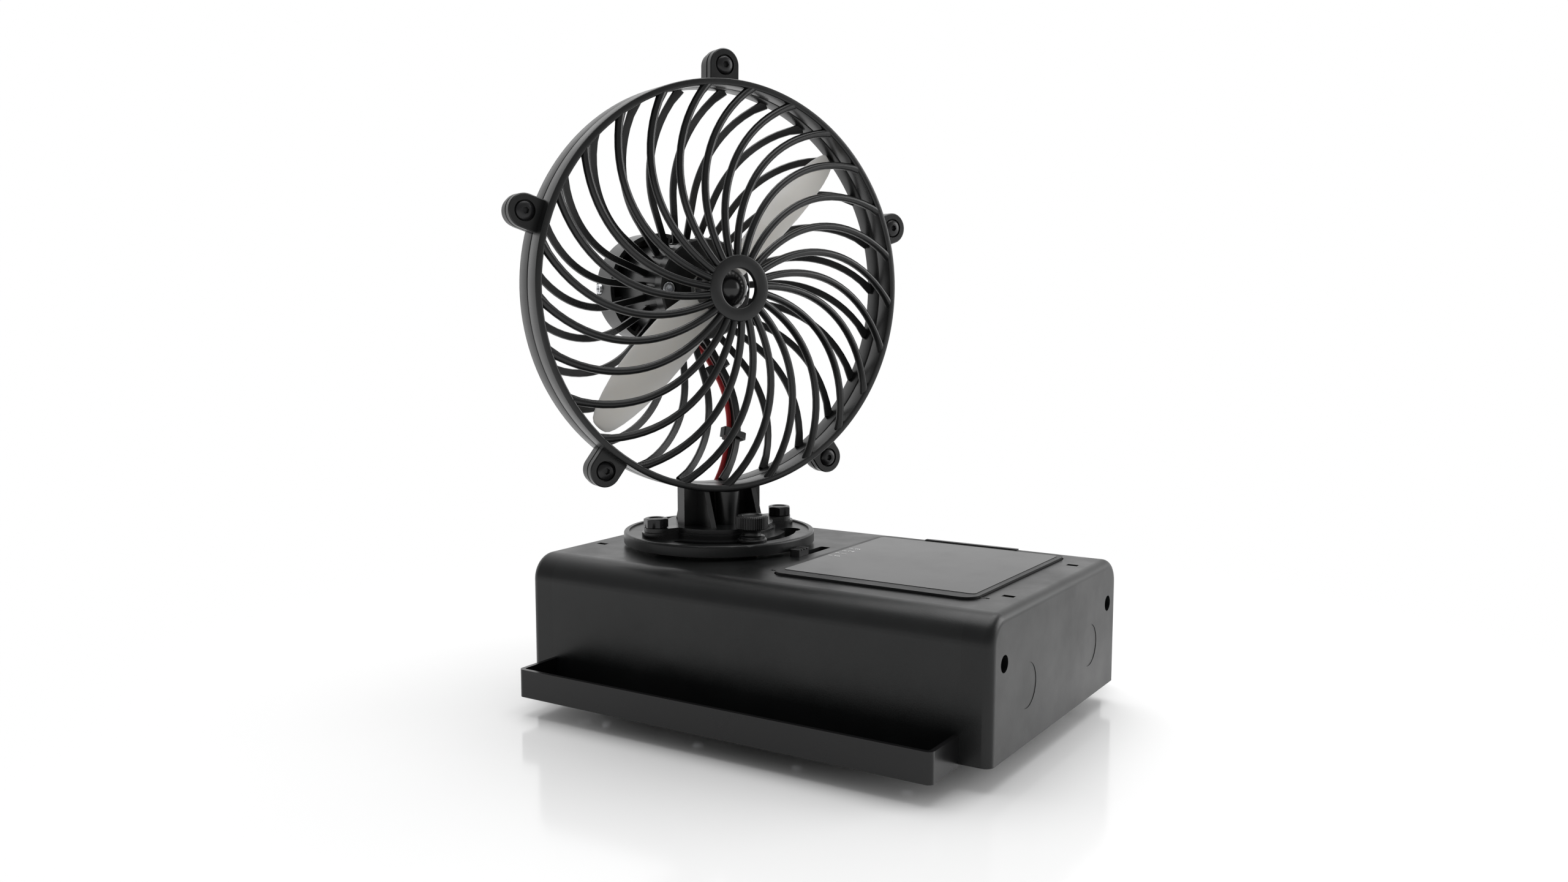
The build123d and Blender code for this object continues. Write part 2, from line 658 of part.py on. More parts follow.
with BuildPart() as turntable_disc:
    with BuildSketch(table_plane(DISC_BOTTOM)):
        Circle(DISC_RADIUS)
    extrude(amount=DISC_TOP - DISC_BOTTOM)
    fillet(turntable_disc.edges().group_by(Axis.Z)[-1], 0.8)
    with BuildSketch(table_plane(DISC_FLOOR)):
        Circle(DISC_RADIUS - 2)
    extrude(amount=DISC_TOP - DISC_FLOOR, mode=Mode.SUBTRACT)
    with BuildSketch(table_plane(43.2)):
        Circle(pivot_radius)
    extrude(amount=DISC_BOTTOM - 43.2)
    with BuildSketch(table_plane(pivot_bottom)):
        Circle(pivot_thread_radius)
    extrude(amount=43.2 - pivot_bottom)
    with BuildSketch(table_plane(pivot_bottom)):
        Circle(pivot_bore_radius)
    extrude(amount=20, mode=Mode.SUBTRACT)
    # arc slot for the clamp screw, with a wider hole at one end
    with BuildSketch(table_plane(DISC_BOTTOM)):
        with BuildLine(mode=Mode.PRIVATE):
            clamp_arc = CenterArc((0, 0), CLAMP_RADIUS, -CLAMP_SLOT_HALF_ANGLE, 2 * CLAMP_SLOT_HALF_ANGLE)
        trace(clamp_arc, CLAMP_SLOT_WIDTH)
        with Locations(clamp_arc @ 0):
            Circle(CLAMP_SLOT_WIDTH / 2)
        with Locations(clamp_arc @ 1):
            Circle(3.75)
    extrude(amount=5, mode=Mode.SUBTRACT)
    with BuildSketch(table_plane(DISC_BOTTOM + 0.2)):
        with Locations((0, -BOLT_OFFSET), (0, BOLT_OFFSET)):
            Circle(3.5)
    extrude(amount=5, mode=Mode.SUBTRACT)
turntable_disc.part.label = "turntable_disc"
export_step(turntable_disc.part, "parts/turntable_disc.step")

with BuildPart() as disc_inserts:
    with BuildSketch(table_plane(DISC_BOTTOM + 0.2)):
        with Locations((0, -BOLT_OFFSET), (0, BOLT_OFFSET)):
            Circle(3.5)
            Circle(2.5, mode=Mode.SUBTRACT)
    extrude(amount=DISC_FLOOR - DISC_BOTTOM - 0.2)
disc_inserts.part.label = "disc_inserts"
export_step(disc_inserts.part, "parts/disc_inserts.step")

with BuildPart() as pivot_nut:
    with BuildSketch(table_plane(38.2)):
        RegularPolygon(10, 6)
        Circle(pivot_thread_radius, mode=Mode.SUBTRACT)
    extrude(amount=4.8)
pivot_nut.part.label = "pivot_nut"
export_step(pivot_nut.part, "parts/pivot_nut.step")

with BuildPart() as thumbscrew_stud:
    with BuildSketch(Plane.XY.offset(38.5)):
        with Locations((clamp_spot.X, clamp_spot.Y)):
            Circle(1.95)
    extrude(amount=DISC_FLOOR + 0.1 - 38.5)
    with BuildSketch(Plane.XY.offset(DISC_FLOOR + 0.1)):
        with Locations((clamp_spot.X, clamp_spot.Y)):
            Circle(5.35)
    extrude(amount=1.2)
    with BuildSketch(Plane.XY.offset(DISC_FLOOR + 1.3)):
        with Locations((clamp_spot.X, clamp_spot.Y)):
            Circle(4.6)
    extrude(amount=1.1)
    with BuildSketch(Plane.XY.offset(DISC_FLOOR + 2.4)):
        with Locations((clamp_spot.X, clamp_spot.Y)):
            Circle(3.25)
    extrude(amount=2.3)
    with BuildSketch(Plane.XY.offset(54.8)):
        with Locations((clamp_spot.X, clamp_spot.Y)):
            Circle(2.2)
    extrude(amount=4.0)
thumbscrew_stud.part.label = "thumbscrew_stud"
export_step(thumbscrew_stud.part, "parts/thumbscrew_stud.step")

with BuildPart() as thumbscrew_knob:
    with BuildSketch(Plane.XY.offset(54.8)):
        with Locations((clamp_spot.X, clamp_spot.Y)):
            Circle(KNOB_RADIUS)
    extrude(amount=5.0)
    chamfer(thumbscrew_knob.edges().filter_by(GeomType.CIRCLE), 0.5)
    with BuildSketch(Plane.XY.offset(54.8)):
        with Locations((clamp_spot.X, clamp_spot.Y)):
            with PolarLocations(KNOB_RADIUS, 36):
                Rectangle(0.7, 0.5)
    extrude(amount=5.0, mode=Mode.SUBTRACT)
    with BuildSketch(Plane.XY.offset(54.8)):
        with Locations((clamp_spot.X, clamp_spot.Y)):
            Circle(2.2)
    extrude(amount=4.0, mode=Mode.SUBTRACT)
    with BuildSketch(Plane.XY.offset(59.2)):
        with Locations((clamp_spot.X, clamp_spot.Y)):
            Circle(3.4)
    extrude(amount=0.6, mode=Mode.SUBTRACT)
thumbscrew_knob.part.label = "thumbscrew_knob"
export_step(thumbscrew_knob.part, "parts/thumbscrew_knob.step")

# ---------------------------------------------------------------- post that carries the fan
plate_half_width, plate_half_depth = 16.2, 2.7
web_y, web_thickness = 10.0, 2.0
post_top = 68.0
ring_reach = 6.0


def flange_outline(radius, ear_tip, ear_width):
    """Round flange with a rounded ear on each side for the bolts."""
    with BuildSketch(mode=Mode.PRIVATE) as outline:
        Circle(radius)
        with Locations((0, 0)):
            SlotOverall(2 * ear_tip, ear_width, rotation=90)
    return outline.sketch


with BuildPart() as fan_post:
    with BuildSketch(table_plane(DISC_FLOOR)):
        add(flange_outline(FLANGE_RADIUS, EAR_TIP_RADIUS, EAR_WIDTH))
    extrude(amount=FLANGE_STEP_Z - DISC_FLOOR)
    with BuildSketch(table_plane(FLANGE_STEP_Z)):
        add(flange_outline(FLANGE_RADIUS - 0.9, EAR_TIP_RADIUS - 0.9, EAR_WIDTH - 1.8))
    extrude(amount=FLANGE_TOP - FLANGE_STEP_Z)
    with BuildSketch(table_plane(FLANGE_TOP)):
        Rectangle(2 * plate_half_depth, 2 * plate_half_width)
    extrude(amount=post_top + ring_reach - FLANGE_TOP)
    # sloping webs that brace the plate fore and aft
    web_plane = Plane(origin=(TURNTABLE_X, 0, 0), x_dir=fan_dir, z_dir=-side_dir)
    for offset_y in (-web_y - web_thickness / 2, web_y - web_thickness / 2):
        with BuildSketch(web_plane.offset(-offset_y)):
            Polygon((-14.2, FLANGE_TOP), (14.2, FLANGE_TOP), (8.0, post_top), (-8.0, post_top), align=None)
        extrude(amount=-web_thickness)
    # tapered tube in front of the plate
    with BuildSketch(table_plane(FLANGE_TOP)):
        with Locations((6, 0)):
            Circle(4.2)
    with BuildSketch(table_plane(post_top)):
        with Locations((6, 0)):
            Circle(5.0)
    loft()
    with BuildSketch(fan_plane.offset(-30)):
        Circle(RING_OUTER)
    extrude(amount=60, mode=Mode.SUBTRACT)
    # way for the leads: a slot at the foot and a hole down the pivot
    with BuildSketch(table_plane(40)):
        Circle(pivot_bore_radius)
    extrude(amount=19, mode=Mode.SUBTRACT)
    with BuildSketch(table_plane(DISC_FLOOR)):
        with Locations((-3, 0)):
            Rectangle(6, 5.4)
    extrude(amount=12.5, mode=Mode.SUBTRACT)
    with BuildSketch(table_plane(40)):
        with Locations((0, -BOLT_OFFSET), (0, BOLT_OFFSET)):
            Circle(2.7)
    extrude(amount=20, mode=Mode.SUBTRACT)
fan_post.part.label = "fan_post"
export_step(fan_post.part, "parts/fan_post.step")

# ================================================================ guards
def front_depth(radius):
    """Front face of the front ribs, a shallow cone from the ring up to the hub ring."""
    return RING_FRONT + 7.1 * (1 - (radius - 12) / 61)


def rear_depth(radius):
    """Rear face of the rear ribs, a deeper cone that runs back to the motor sleeve."""
    return RING_REAR - 0.3815 * (72 - radius)


def front_sweep(radius):
    """How far a front rib has turned at a radius, in degrees."""
    return 0.3 + 0.35 * (radius - 14) + 0.0045 * (radius - 14) ** 2


def rear_swerve(outward):
    """Sideways offset of a rear rib at a distance from the axis: straight at first, then an arc."""
    past_bend = max(0, outward - REAR_BEND_START)
    return REAR_BEND_RADIUS - sqrt(REAR_BEND_RADIUS**2 - past_bend**2)


def rib_pattern(middle):
    """Plan of all the ribs inside the ring: one rib of even width along its middle line, repeated round the axis."""
    with BuildSketch(mode=Mode.PRIVATE) as one_rib:
        trace(middle, RIB_WIDTH)
    with BuildSketch(mode=Mode.PRIVATE) as ribs:
        with PolarLocations(0, RIB_COUNT):
            add(one_rib.sketch)
        Circle(RING_INNER, mode=Mode.INTERSECT)
    return ribs.sketch


def front_rib_point(radius):
    """A point of the first front rib's middle line, on the plan."""
    return (radius * sin(radians(front_sweep(radius))), radius * cos(radians(front_sweep(radius))))


with BuildLine() as front_rib_line:
    ThreePointArc(front_rib_point(9.6), front_rib_point(42), front_rib_point(RIB_END))

rear_rib_height = 69.9
with BuildLine() as rear_rib_line:
    rib_root = Line((0, 15.5), (0, REAR_BEND_START))
    TangentArc(rib_root @ 1, (rear_swerve(rear_rib_height), rear_rib_height), tangent=rib_root % 1)


def lug_outline(tip_radius):
    """One ear of the ring, at the top, round about its screw."""
    with BuildSketch(mode=Mode.PRIVATE) as outline:
        with Locations((0, LUG_RADIUS)):
            Circle(tip_radius)
        with Locations((0, (LUG_RADIUS + LUG_START) / 2)):
            Rectangle(2 * tip_radius, LUG_RADIUS - LUG_START)
        with Locations((0, 0)):
            Circle(RING_INNER + 0.1, mode=Mode.SUBTRACT)
    return outline.sketch


lug_angles = [90 - LUG_TURN - i * 360 / LUG_COUNT for i in range(LUG_COUNT)]
lug_spots = [(LUG_RADIUS * cos(radians(a)), LUG_RADIUS * sin(radians(a))) for a in lug_angles]

with BuildPart() as rear_guard:
    with BuildSketch(fan_plane.offset(RING_REAR)):
        Circle(RING_OUTER)
        Circle(RING_INNER, mode=Mode.SUBTRACT)
    extrude(amount=RING_SPLIT - RING_REAR)
    for tip, start in ((LUG_TIP, -1.5), (LUG_TIP - 0.6, -4.3)):
        with BuildSketch(fan_plane.offset(start)):
            for angle in lug_angles:
                with Locations(Rotation(0, 0, angle - 90)):
                    add(lug_outline(tip))
        extrude(amount=2.8)
    with BuildSketch(fan_plane.offset(-5)):
        with Locations(*lug_spots):
            Circle(1.6)
    extrude(amount=8, mode=Mode.SUBTRACT)
    with BuildSketch(fan_plane.offset(-4.3)):
        with Locations(*lug_spots):
            RegularPolygon(3.3, 6)
    extrude(amount=2.4, mode=Mode.SUBTRACT)
rear_guard.part.label = "rear_guard"
export_step(rear_guard.part, "parts/rear_guard.step")

with BuildPart() as rear_grille:
    with BuildSketch(fan_profile):
        with BuildLine():
            Polyline(
                (16, rear_depth(16)),
                (74, rear_depth(74)),
                (74, rear_depth(74) + RIB_DEPTH),
                (16, rear_depth(16) + RIB_DEPTH),
                close=True,
            )
        make_face()
    revolve(axis=fan_axis)
    with BuildSketch(fan_plane.offset(-40)):
        add(rib_pattern(rear_rib_line.line))
    extrude(amount=60, mode=Mode.INTERSECT)
    with BuildSketch(fan_plane.offset(SLEEVE_REAR)):
        Circle(SLEEVE_OUTER)
    extrude(amount=SLEEVE_FRONT - SLEEVE_REAR)
    with BuildSketch(fan_plane.offset(-27)):
        with Locations((-MOUNT_SCREW, 0), (MOUNT_SCREW, 0)):
            Circle(2.9)
    extrude(amount=SLEEVE_FRONT + 27)
    with BuildSketch(fan_plane.offset(SLEEVE_REAR - 1)):
        Circle(SLEEVE_INNER)
    extrude(amount=50, mode=Mode.SUBTRACT)
    with BuildSketch(fan_plane.offset(-26)):
        with Locations((-MOUNT_SCREW, 0), (MOUNT_SCREW, 0)):
            Circle(1.2)
    extrude(amount=20, mode=Mode.SUBTRACT)
    # way for the motor leads
    lead_dir = rib_point(0, 0, 1, LEAD_ANGLE) - fan_origin
    lead_plane = Plane(origin=fan_origin + fan_dir * -55, x_dir=fan_dir, z_dir=lead_dir)
    with BuildSketch(lead_plane.offset(10)):
        Rectangle(8.6, 5.2)
    extrude(amount=12, mode=Mode.SUBTRACT)
    # radial holes for the cover's screws
    with BuildSketch(cover_screw_plane.offset(-25)):
        Circle(1.2)
    extrude(amount=50, mode=Mode.SUBTRACT)
rear_grille.part.label = "rear_grille"
export_step(rear_grille.part, "parts/rear_grille.step")

with BuildPart() as front_guard:
    with BuildSketch(fan_plane.offset(RING_SPLIT)):
        Circle(RING_OUTER)
        Circle(RING_INNER, mode=Mode.SUBTRACT)
    extrude(amount=RING_FRONT - RING_SPLIT)
    with BuildSketch(fan_plane.offset(RING_SPLIT + 0.3)):
        for angle in lug_angles:
            with Locations(Rotation(0, 0, angle - 90)):
                add(lug_outline(LUG_TIP))
    extrude(amount=2.8)
    with BuildSketch(fan_plane):
        with Locations(*lug_spots):
            Circle(1.6)
    extrude(amount=8, mode=Mode.SUBTRACT)
    with BuildSketch(fan_plane.offset(3.2)):
        with Locations(*lug_spots):
            Circle(3.7)
    extrude(amount=3, mode=Mode.SUBTRACT)
front_guard.part.label = "front_guard"
export_step(front_guard.part, "parts/front_guard.step")

with BuildPart() as front_grille:
    with BuildSketch(fan_profile):
        with BuildLine():
            Polyline(
                (10, front_depth(10) - RIB_DEPTH),
                (74, front_depth(74) - RIB_DEPTH),
                (74, front_depth(74)),
                (10, front_depth(10)),
                close=True,
            )
        make_face()
    revolve(axis=fan_axis)
    with BuildSketch(fan_plane):
        add(rib_pattern(front_rib_line.line))
    extrude(amount=30, mode=Mode.INTERSECT)
    with BuildSketch(fan_plane.offset(13.9)):
        Circle(HUB_RING_OUTER)
        Circle(HUB_RING_INNER, mode=Mode.SUBTRACT)
    extrude(amount=2.6)
front_grille.part.label = "front_grille"
export_step(front_grille.part, "parts/front_grille.step")

with BuildPart() as guard_screws:
    with BuildSketch(fan_plane.offset(-4.2)):
        with Locations(*lug_spots):
            Circle(1.5)
    extrude(amount=7.4)
    with BuildSketch(fan_plane.offset(3.2)):
        with Locations(*lug_spots):
            Circle(3.4)
    extrude(amount=1.9, taper=14)
    with BuildSketch(fan_plane.offset(3.9)):
        with Locations(*lug_spots):
            RegularPolygon(1.2, 6)
    extrude(amount=2, mode=Mode.SUBTRACT)
guard_screws.part.label = "guard_screws"
export_step(guard_screws.part, "parts/guard_screws.step")

with BuildPart() as guard_nuts:
    with BuildSketch(fan_plane.offset(-4.2)):
        with Locations(*lug_spots):
            RegularPolygon(3.15, 6)
            Circle(1.5, mode=Mode.SUBTRACT)
    extrude(amount=2.3)
guard_nuts.part.label = "guard_nuts"
export_step(guard_nuts.part, "parts/guard_nuts.step")

with BuildPart() as post_bolts:
    with BuildSketch(table_plane(DISC_BOTTOM + 0.5)):
        with Locations((0, -BOLT_OFFSET), (0, BOLT_OFFSET)):
            Circle(2.5)
    extrude(amount=FLANGE_TOP - DISC_BOTTOM - 0.5)
    with BuildSketch(table_plane(FLANGE_TOP)):
        with Locations((0, -BOLT_OFFSET), (0, BOLT_OFFSET)):
            RegularPolygon(4.6, 6)
    extrude(amount=3.5)
    with BuildSketch(table_plane(FLANGE_TOP + 3.1)):
        with Locations((0, -BOLT_OFFSET), (0, BOLT_OFFSET)):
            Circle(2.6)
    extrude(amount=0.4, mode=Mode.SUBTRACT)
post_bolts.part.label = "post_bolts"
export_step(post_bolts.part, "parts/post_bolts.step")

# ================================================================ motor
with BuildPart() as motor_mount:
    with BuildSketch(fan_plane.offset(SLEEVE_FRONT)):
        Circle(MOUNT_RADIUS)
        Circle(NOSE_RADIUS + 1, mode=Mode.SUBTRACT)
    extrude(amount=MOUNT_FRONT - SLEEVE_FRONT)
    chamfer(motor_mount.edges().filter_by(GeomType.CIRCLE).group_by(SortBy.RADIUS)[-1], 0.6)
    with BuildSketch(fan_plane.offset(MOUNT_FRONT - 1.5)):
        Circle(11)
    extrude(amount=2, mode=Mode.SUBTRACT)
    with BuildSketch(fan_plane.offset(SLEEVE_FRONT - 1)):
        with Locations((-MOUNT_SCREW, 0), (MOUNT_SCREW, 0)):
            Circle(1.35)
    extrude(amount=10, mode=Mode.SUBTRACT)
    with BuildSketch(fan_plane.offset(MOUNT_FRONT - 3)):
        with Locations((-MOUNT_SCREW, 0), (MOUNT_SCREW, 0)):
            Circle(2.8)
    extrude(amount=4, mode=Mode.SUBTRACT)
motor_mount.part.label = "motor_mount"
export_step(motor_mount.part, "parts/motor_mount.step")

with BuildPart() as mount_screws:
    with BuildSketch(fan_plane.offset(-25)):
        with Locations((-MOUNT_SCREW, 0), (MOUNT_SCREW, 0)):
            Circle(1.2)
    extrude(amount=MOUNT_FRONT - 3 + 25)
    with BuildSketch(fan_plane.offset(MOUNT_FRONT - 3)):
        with Locations((-MOUNT_SCREW, 0), (MOUNT_SCREW, 0)):
            Circle(2.6)
    extrude(amount=3)
    with BuildSketch(fan_plane.offset(MOUNT_FRONT - 1.5)):
        with Locations((-MOUNT_SCREW, 0), (MOUNT_SCREW, 0)):
            RegularPolygon(1.3, 6)
    extrude(amount=2, mode=Mode.SUBTRACT)
mount_screws.part.label = "mount_screws"
export_step(mount_screws.part, "parts/mount_screws.step")

with BuildPart() as motor_can:
    with BuildSketch(fan_plane.offset(CAN_REAR)):
        Circle(CAN_OUTER)
    extrude(amount=SLEEVE_FRONT - 0.1 - CAN_REAR)
    with BuildSketch(fan_plane.offset(CAN_REAR)):
        Circle(CAN_INNER)
    extrude(amount=SLEEVE_FRONT - 1.2 - CAN_REAR, mode=Mode.SUBTRACT)
    with BuildSketch(fan_plane.offset(SLEEVE_FRONT - 1.2)):
        Circle(NOSE_RADIUS)
    extrude(amount=3.4)
    with BuildSketch(fan_plane.offset(-20)):
        Circle(SHAFT_RADIUS + 0.06)
    extrude(amount=12, mode=Mode.SUBTRACT)
motor_can.part.label = "motor_can"
export_step(motor_can.part, "parts/motor_can.step")

with BuildPart() as motor_magnets:
    with BuildSketch(fan_plane.offset(-44)):
        Circle(CAN_INNER)
        Circle(10.4, mode=Mode.SUBTRACT)
        Rectangle(40, 9, mode=Mode.SUBTRACT)
    extrude(amount=24)
motor_magnets.part.label = "motor_magnets"
export_step(motor_magnets.part, "parts/motor_magnets.step")

with BuildPart() as motor_end_bell:
    with BuildSketch(fan_plane.offset(BELL_REAR)):
        Circle(CAN_OUTER)
        Circle(SHAFT_RADIUS + 0.06, mode=Mode.SUBTRACT)
    extrude(amount=CAN_REAR - BELL_REAR)
    with BuildSketch(fan_plane.offset(BELL_REAR - 1.5)):
        Circle(4)
        Circle(SHAFT_RADIUS + 0.06, mode=Mode.SUBTRACT)
    extrude(amount=1.5)
    with BuildSketch(fan_plane.offset(BELL_REAR - 3.9)):
        with PolarLocations(7.5, 2, start_angle=90 - LEAD_ANGLE - 8, angular_range=16, endpoint=True):
            Rectangle(2.2, 0.6)
    extrude(amount=3.9)
motor_end_bell.part.label = "motor_end_bell"
export_step(motor_end_bell.part, "parts/motor_end_bell.step")

with BuildPart() as motor_shaft:
    with BuildSketch(fan_plane.offset(-53.5)):
        Circle(SHAFT_RADIUS)
    extrude(amount=61.5)
motor_shaft.part.label = "motor_shaft"
export_step(motor_shaft.part, "parts/motor_shaft.step")

with BuildPart() as motor_armature:
    with BuildSketch(fan_plane.offset(-42)):
        Circle(9.7)
        with PolarLocations(8.6, 5):
            Rectangle(4.6, 1.2, mode=Mode.SUBTRACT)
        Circle(SHAFT_RADIUS, mode=Mode.SUBTRACT)
    extrude(amount=20)
    with BuildSketch(fan_plane.offset(-47)):
        Circle(4)
        Circle(SHAFT_RADIUS, mode=Mode.SUBTRACT)
    extrude(amount=5)
motor_armature.part.label = "motor_armature"
export_step(motor_armature.part, "parts/motor_armature.step")

with BuildPart() as motor_cover:
    with BuildSketch(fan_plane.offset(COVER_REAR)):
        Circle(COVER_OUTER)
    extrude(amount=COVER_FRONT - COVER_REAR)
    fillet(motor_cover.edges().filter_by(GeomType.CIRCLE).sort_by(fan_axis)[0], 1.4)
    with BuildSketch(fan_plane.offset(COVER_REAR + 1.6)):
        Circle(COVER_INNER)
    extrude(amount=20, mode=Mode.SUBTRACT)
    # vanes across the front gap and bosses for the two radial screws
    with BuildSketch(fan_plane.offset(COVER_FRONT - 5)):
        with PolarLocations((COVER_INNER + SLEEVE_OUTER) / 2, VANE_COUNT, start_angle=180 / VANE_COUNT):
            Rectangle(COVER_INNER - SLEEVE_OUTER + 0.4, 1)
    extrude(amount=5)
    with BuildSketch(cover_screw_plane.offset(-21)):
        Circle(3)
    extrude(amount=42)
    with BuildSketch(fan_plane.offset(COVER_REAR + 1.6)):
        Circle(SLEEVE_OUTER + 0.05)
    extrude(amount=20, mode=Mode.SUBTRACT)
    with BuildSketch(cover_screw_plane.offset(-25)):
        Circle(1.35)
    extrude(amount=50, mode=Mode.SUBTRACT)
    for end in (-25, 21.2):
        with BuildSketch(cover_screw_plane.offset(end)):
            Circle(2.4)
        extrude(amount=3.8, mode=Mode.SUBTRACT)
    # cooling holes in the rear face
    with BuildSketch(fan_plane.offset(COVER_REAR)):
        with PolarLocations(11.5, 8):
            SlotOverall(8, 2.4)
    extrude(amount=2, mode=Mode.SUBTRACT)
motor_cover.part.label = "motor_cover"
export_step(motor_cover.part, "parts/motor_cover.step")

with BuildPart() as cover_screws:
    for turn in (0, 180):
        radial = side_dir.rotate(Axis.Z, turn)
        seat = Plane(origin=cover_screw_plane.origin, x_dir=fan_dir, z_dir=radial)
        with BuildSketch(seat.offset(14.6)):
            Circle(1.2)
        extrude(amount=6.6)
        with BuildSketch(seat.offset(21.2)):
            Circle(2.3)
        extrude(amount=1.8, taper=12)
        with BuildSketch(seat.offset(22.2)):
            Rectangle(2.6, 0.6)
            Rectangle(0.6, 2.6)
        extrude(amount=1, mode=Mode.SUBTRACT)
cover_screws.part.label = "cover_screws"
export_step(cover_screws.part, "parts/cover_screws.step")

# ================================================================ propeller
def radial_dir(angle):
    """Direction out from the fan's axis at a clockwise angle from the top."""
    return Vector(0, 0, 1) * cos(radians(angle)) + side_dir * sin(radians(angle))


def blade(angle):
    """One twisted blade, lofted through its sections."""
    out = radial_dir(angle)
    around = out.cross(fan_dir)
    with BuildPart() as shape:
        for radius, chord, thickness, pitch, forward in BLADE_SECTIONS:
            chord_dir = around * cos(radians(pitch)) + fan_dir * sin(radians(pitch))
            origin = fan_origin + fan_dir * forward + out * radius
            with BuildSketch(Plane(origin=origin, x_dir=chord_dir, z_dir=out)):
                Ellipse(chord / 2, thickness / 2)
        loft()
    return shape.part


with BuildPart() as propeller:
    add(blade(BLADE_ANGLE))
    add(blade(BLADE_ANGLE + 180))
    with BuildSketch(fan_plane.offset(-4)):
        Circle(HUB_RADIUS)
    extrude(amount=8)
    with BuildSketch(fan_plane.offset(-6)):
        Circle(SHAFT_RADIUS)
    extrude(amount=20, mode=Mode.SUBTRACT)
propeller.part.label = "propeller"
export_step(propeller.part, "parts/propeller.step")

with BuildPart() as spinner:
    with BuildSketch(fan_profile):
        with BuildLine():
            Line((0, SPINNER_BASE), (SPINNER_OUTER, SPINNER_BASE))
            Line((SPINNER_OUTER, SPINNER_BASE), (SPINNER_OUTER, 3.5))
            Spline(
                (SPINNER_OUTER, 3.5),
                (0, SPINNER_TOP),
                tangents=((0, 1), (-1, 0)),
            )
            Line((0, SPINNER_TOP), (0, SPINNER_BASE))
        make_face()
    revolve(axis=fan_axis)
    with BuildSketch(fan_plane.offset(SPINNER_BASE - 1)):
        Circle(HUB_RADIUS + 0.1)
    extrude(amount=4.1 - SPINNER_BASE + 1, mode=Mode.SUBTRACT)
    with BuildSketch(fan_plane.offset(SPINNER_BASE - 1)):
        Circle(SHAFT_RADIUS + 0.1)
    extrude(amount=9.5 - SPINNER_BASE, mode=Mode.SUBTRACT)
    with BuildSketch(Plane(origin=fan_origin, x_dir=fan_dir, z_dir=radial_dir(BLADE_ANGLE)).offset(-12)):
        with Locations((1.2, 0)):
            Rectangle(9.2, 14.6)
    extrude(amount=24, mode=Mode.SUBTRACT)
spinner.part.label = "spinner"
export_step(spinner.part, "parts/spinner.step")

# ================================================================ leads
def lead_radii(points):
    """Radius of each bend: 0.45 of the shorter run beside it, over the tangent of half its turn."""
    radii = []
    for before, corner, after in zip(points, points[1:], points[2:]):
        run_in = corner - before
        run_out = after - corner
        turn = radians(run_in.get_angle(run_out))
        radii.append(0.45 * min(run_in.length, run_out.length) / tan(turn / 2))
    return radii


def lead(points, radius, name):
    """A round lead along straight runs joined by tangent arcs."""
    radii = lead_radii(points)
    print(name, "bend radii", [round(r, 1) for r in radii])
    with BuildPart() as shape:
        with BuildLine():
            path = FilletPolyline(*points, radius=radii)
        with BuildSketch(Plane(origin=path @ 0, z_dir=path % 0)):
            Circle(radius)
        sweep()
    filled = shape.part.volume / (pi * radius**2 * path.length)
    print(name, "length", round(path.length, 1), "volume over section times length", round(filled, 4))
    return shape.part


def motor_lead_route(side):
    """Points of one motor lead; the two run side by side down a rear rib and into the post's foot."""
    spread = 1.1 * side
    beside_rib = [
        (-56.5, 7.8),
        (-56.0, 13.5),
        (-51.5, 18.9),
        (-39.0, 19.4),
        (-27.6, 25.5),
        (-20.0, 41.4),
        (-15.2, 54.0),
        (-9.7, 66.0),
    ]
    route = [rib_point(along, rear_swerve(out) + spread, out, LEAD_ANGLE) for along, out in beside_rib]
    into_post = [(-8.6, 2.4, 63.5), (-6.0, 0, 58.5), (0, 0, 53.0), (0, 0, 36.5)]
    return route + [fan_point(along, across - spread, z - FAN_AXIS_Z) for along, across, z in into_post]


with BuildPart() as red_wire:
    add(lead(motor_lead_route(1), LEAD_RADIUS, "red_wire"))
red_wire.part.label = "red_wire"
export_step(red_wire.part, "parts/red_wire.step")

with BuildPart() as black_wire:
    add(lead(motor_lead_route(-1), LEAD_RADIUS, "black_wire"))
black_wire.part.label = "black_wire"
export_step(black_wire.part, "parts/black_wire.step")

with BuildPart() as cable_ties:
    for out in (33.0, 58.0):
        here = rib_point(rear_depth(out) - 0.4, rear_swerve(out), out, LEAD_ANGLE)
        ahead = rib_point(rear_depth(out + 1) - 0.4, rear_swerve(out + 1), out + 1, LEAD_ANGLE)
        along_rib = (ahead - here).normalized()
        tie_plane = Plane(origin=here, x_dir=along_rib.cross(fan_dir), z_dir=along_rib)
        with BuildSketch(tie_plane.offset(-1.2)):
            RectangleRounded(7.2, 9.0, 2.2)
            RectangleRounded(5.6, 7.4, 1.5, mode=Mode.SUBTRACT)
        extrude(amount=2.4)
        with BuildSketch(tie_plane.offset(-1.8)):
            with Locations((4.9, -1.5)):
                RectangleRounded(3, 3.6, 0.5)
        extrude(amount=3.6)
cable_ties.part.label = "cable_ties"
export_step(cable_ties.part, "parts/cable_ties.step")


def board_lead_route(side):
    """Points of one short lead from the board to the bottom of the pivot."""
    y = 1.1 * side
    return [
        Vector(-33.6, y, 27.0),
        Vector(-40.0, y, 26.6),
        Vector(-44.8, y, 30.0),
        Vector(TURNTABLE_X, y, 36.0),
    ]


with BuildPart() as board_leads:
    add(lead(board_lead_route(1), BOARD_LEAD_RADIUS, "board lead"))
    add(lead(board_lead_route(-1), BOARD_LEAD_RADIUS, "board lead"))
board_leads.part.label = "board_leads"
export_step(board_leads.part, "parts/board_leads.step")
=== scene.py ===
"""Looks of the fan cart: finer meshes where the CAD is plain, procedural materials, studio and camera."""

import json
from math import cos, hypot, pi, radians, sin, sqrt

import bpy
import bmesh
from mathutils import Matrix, Vector


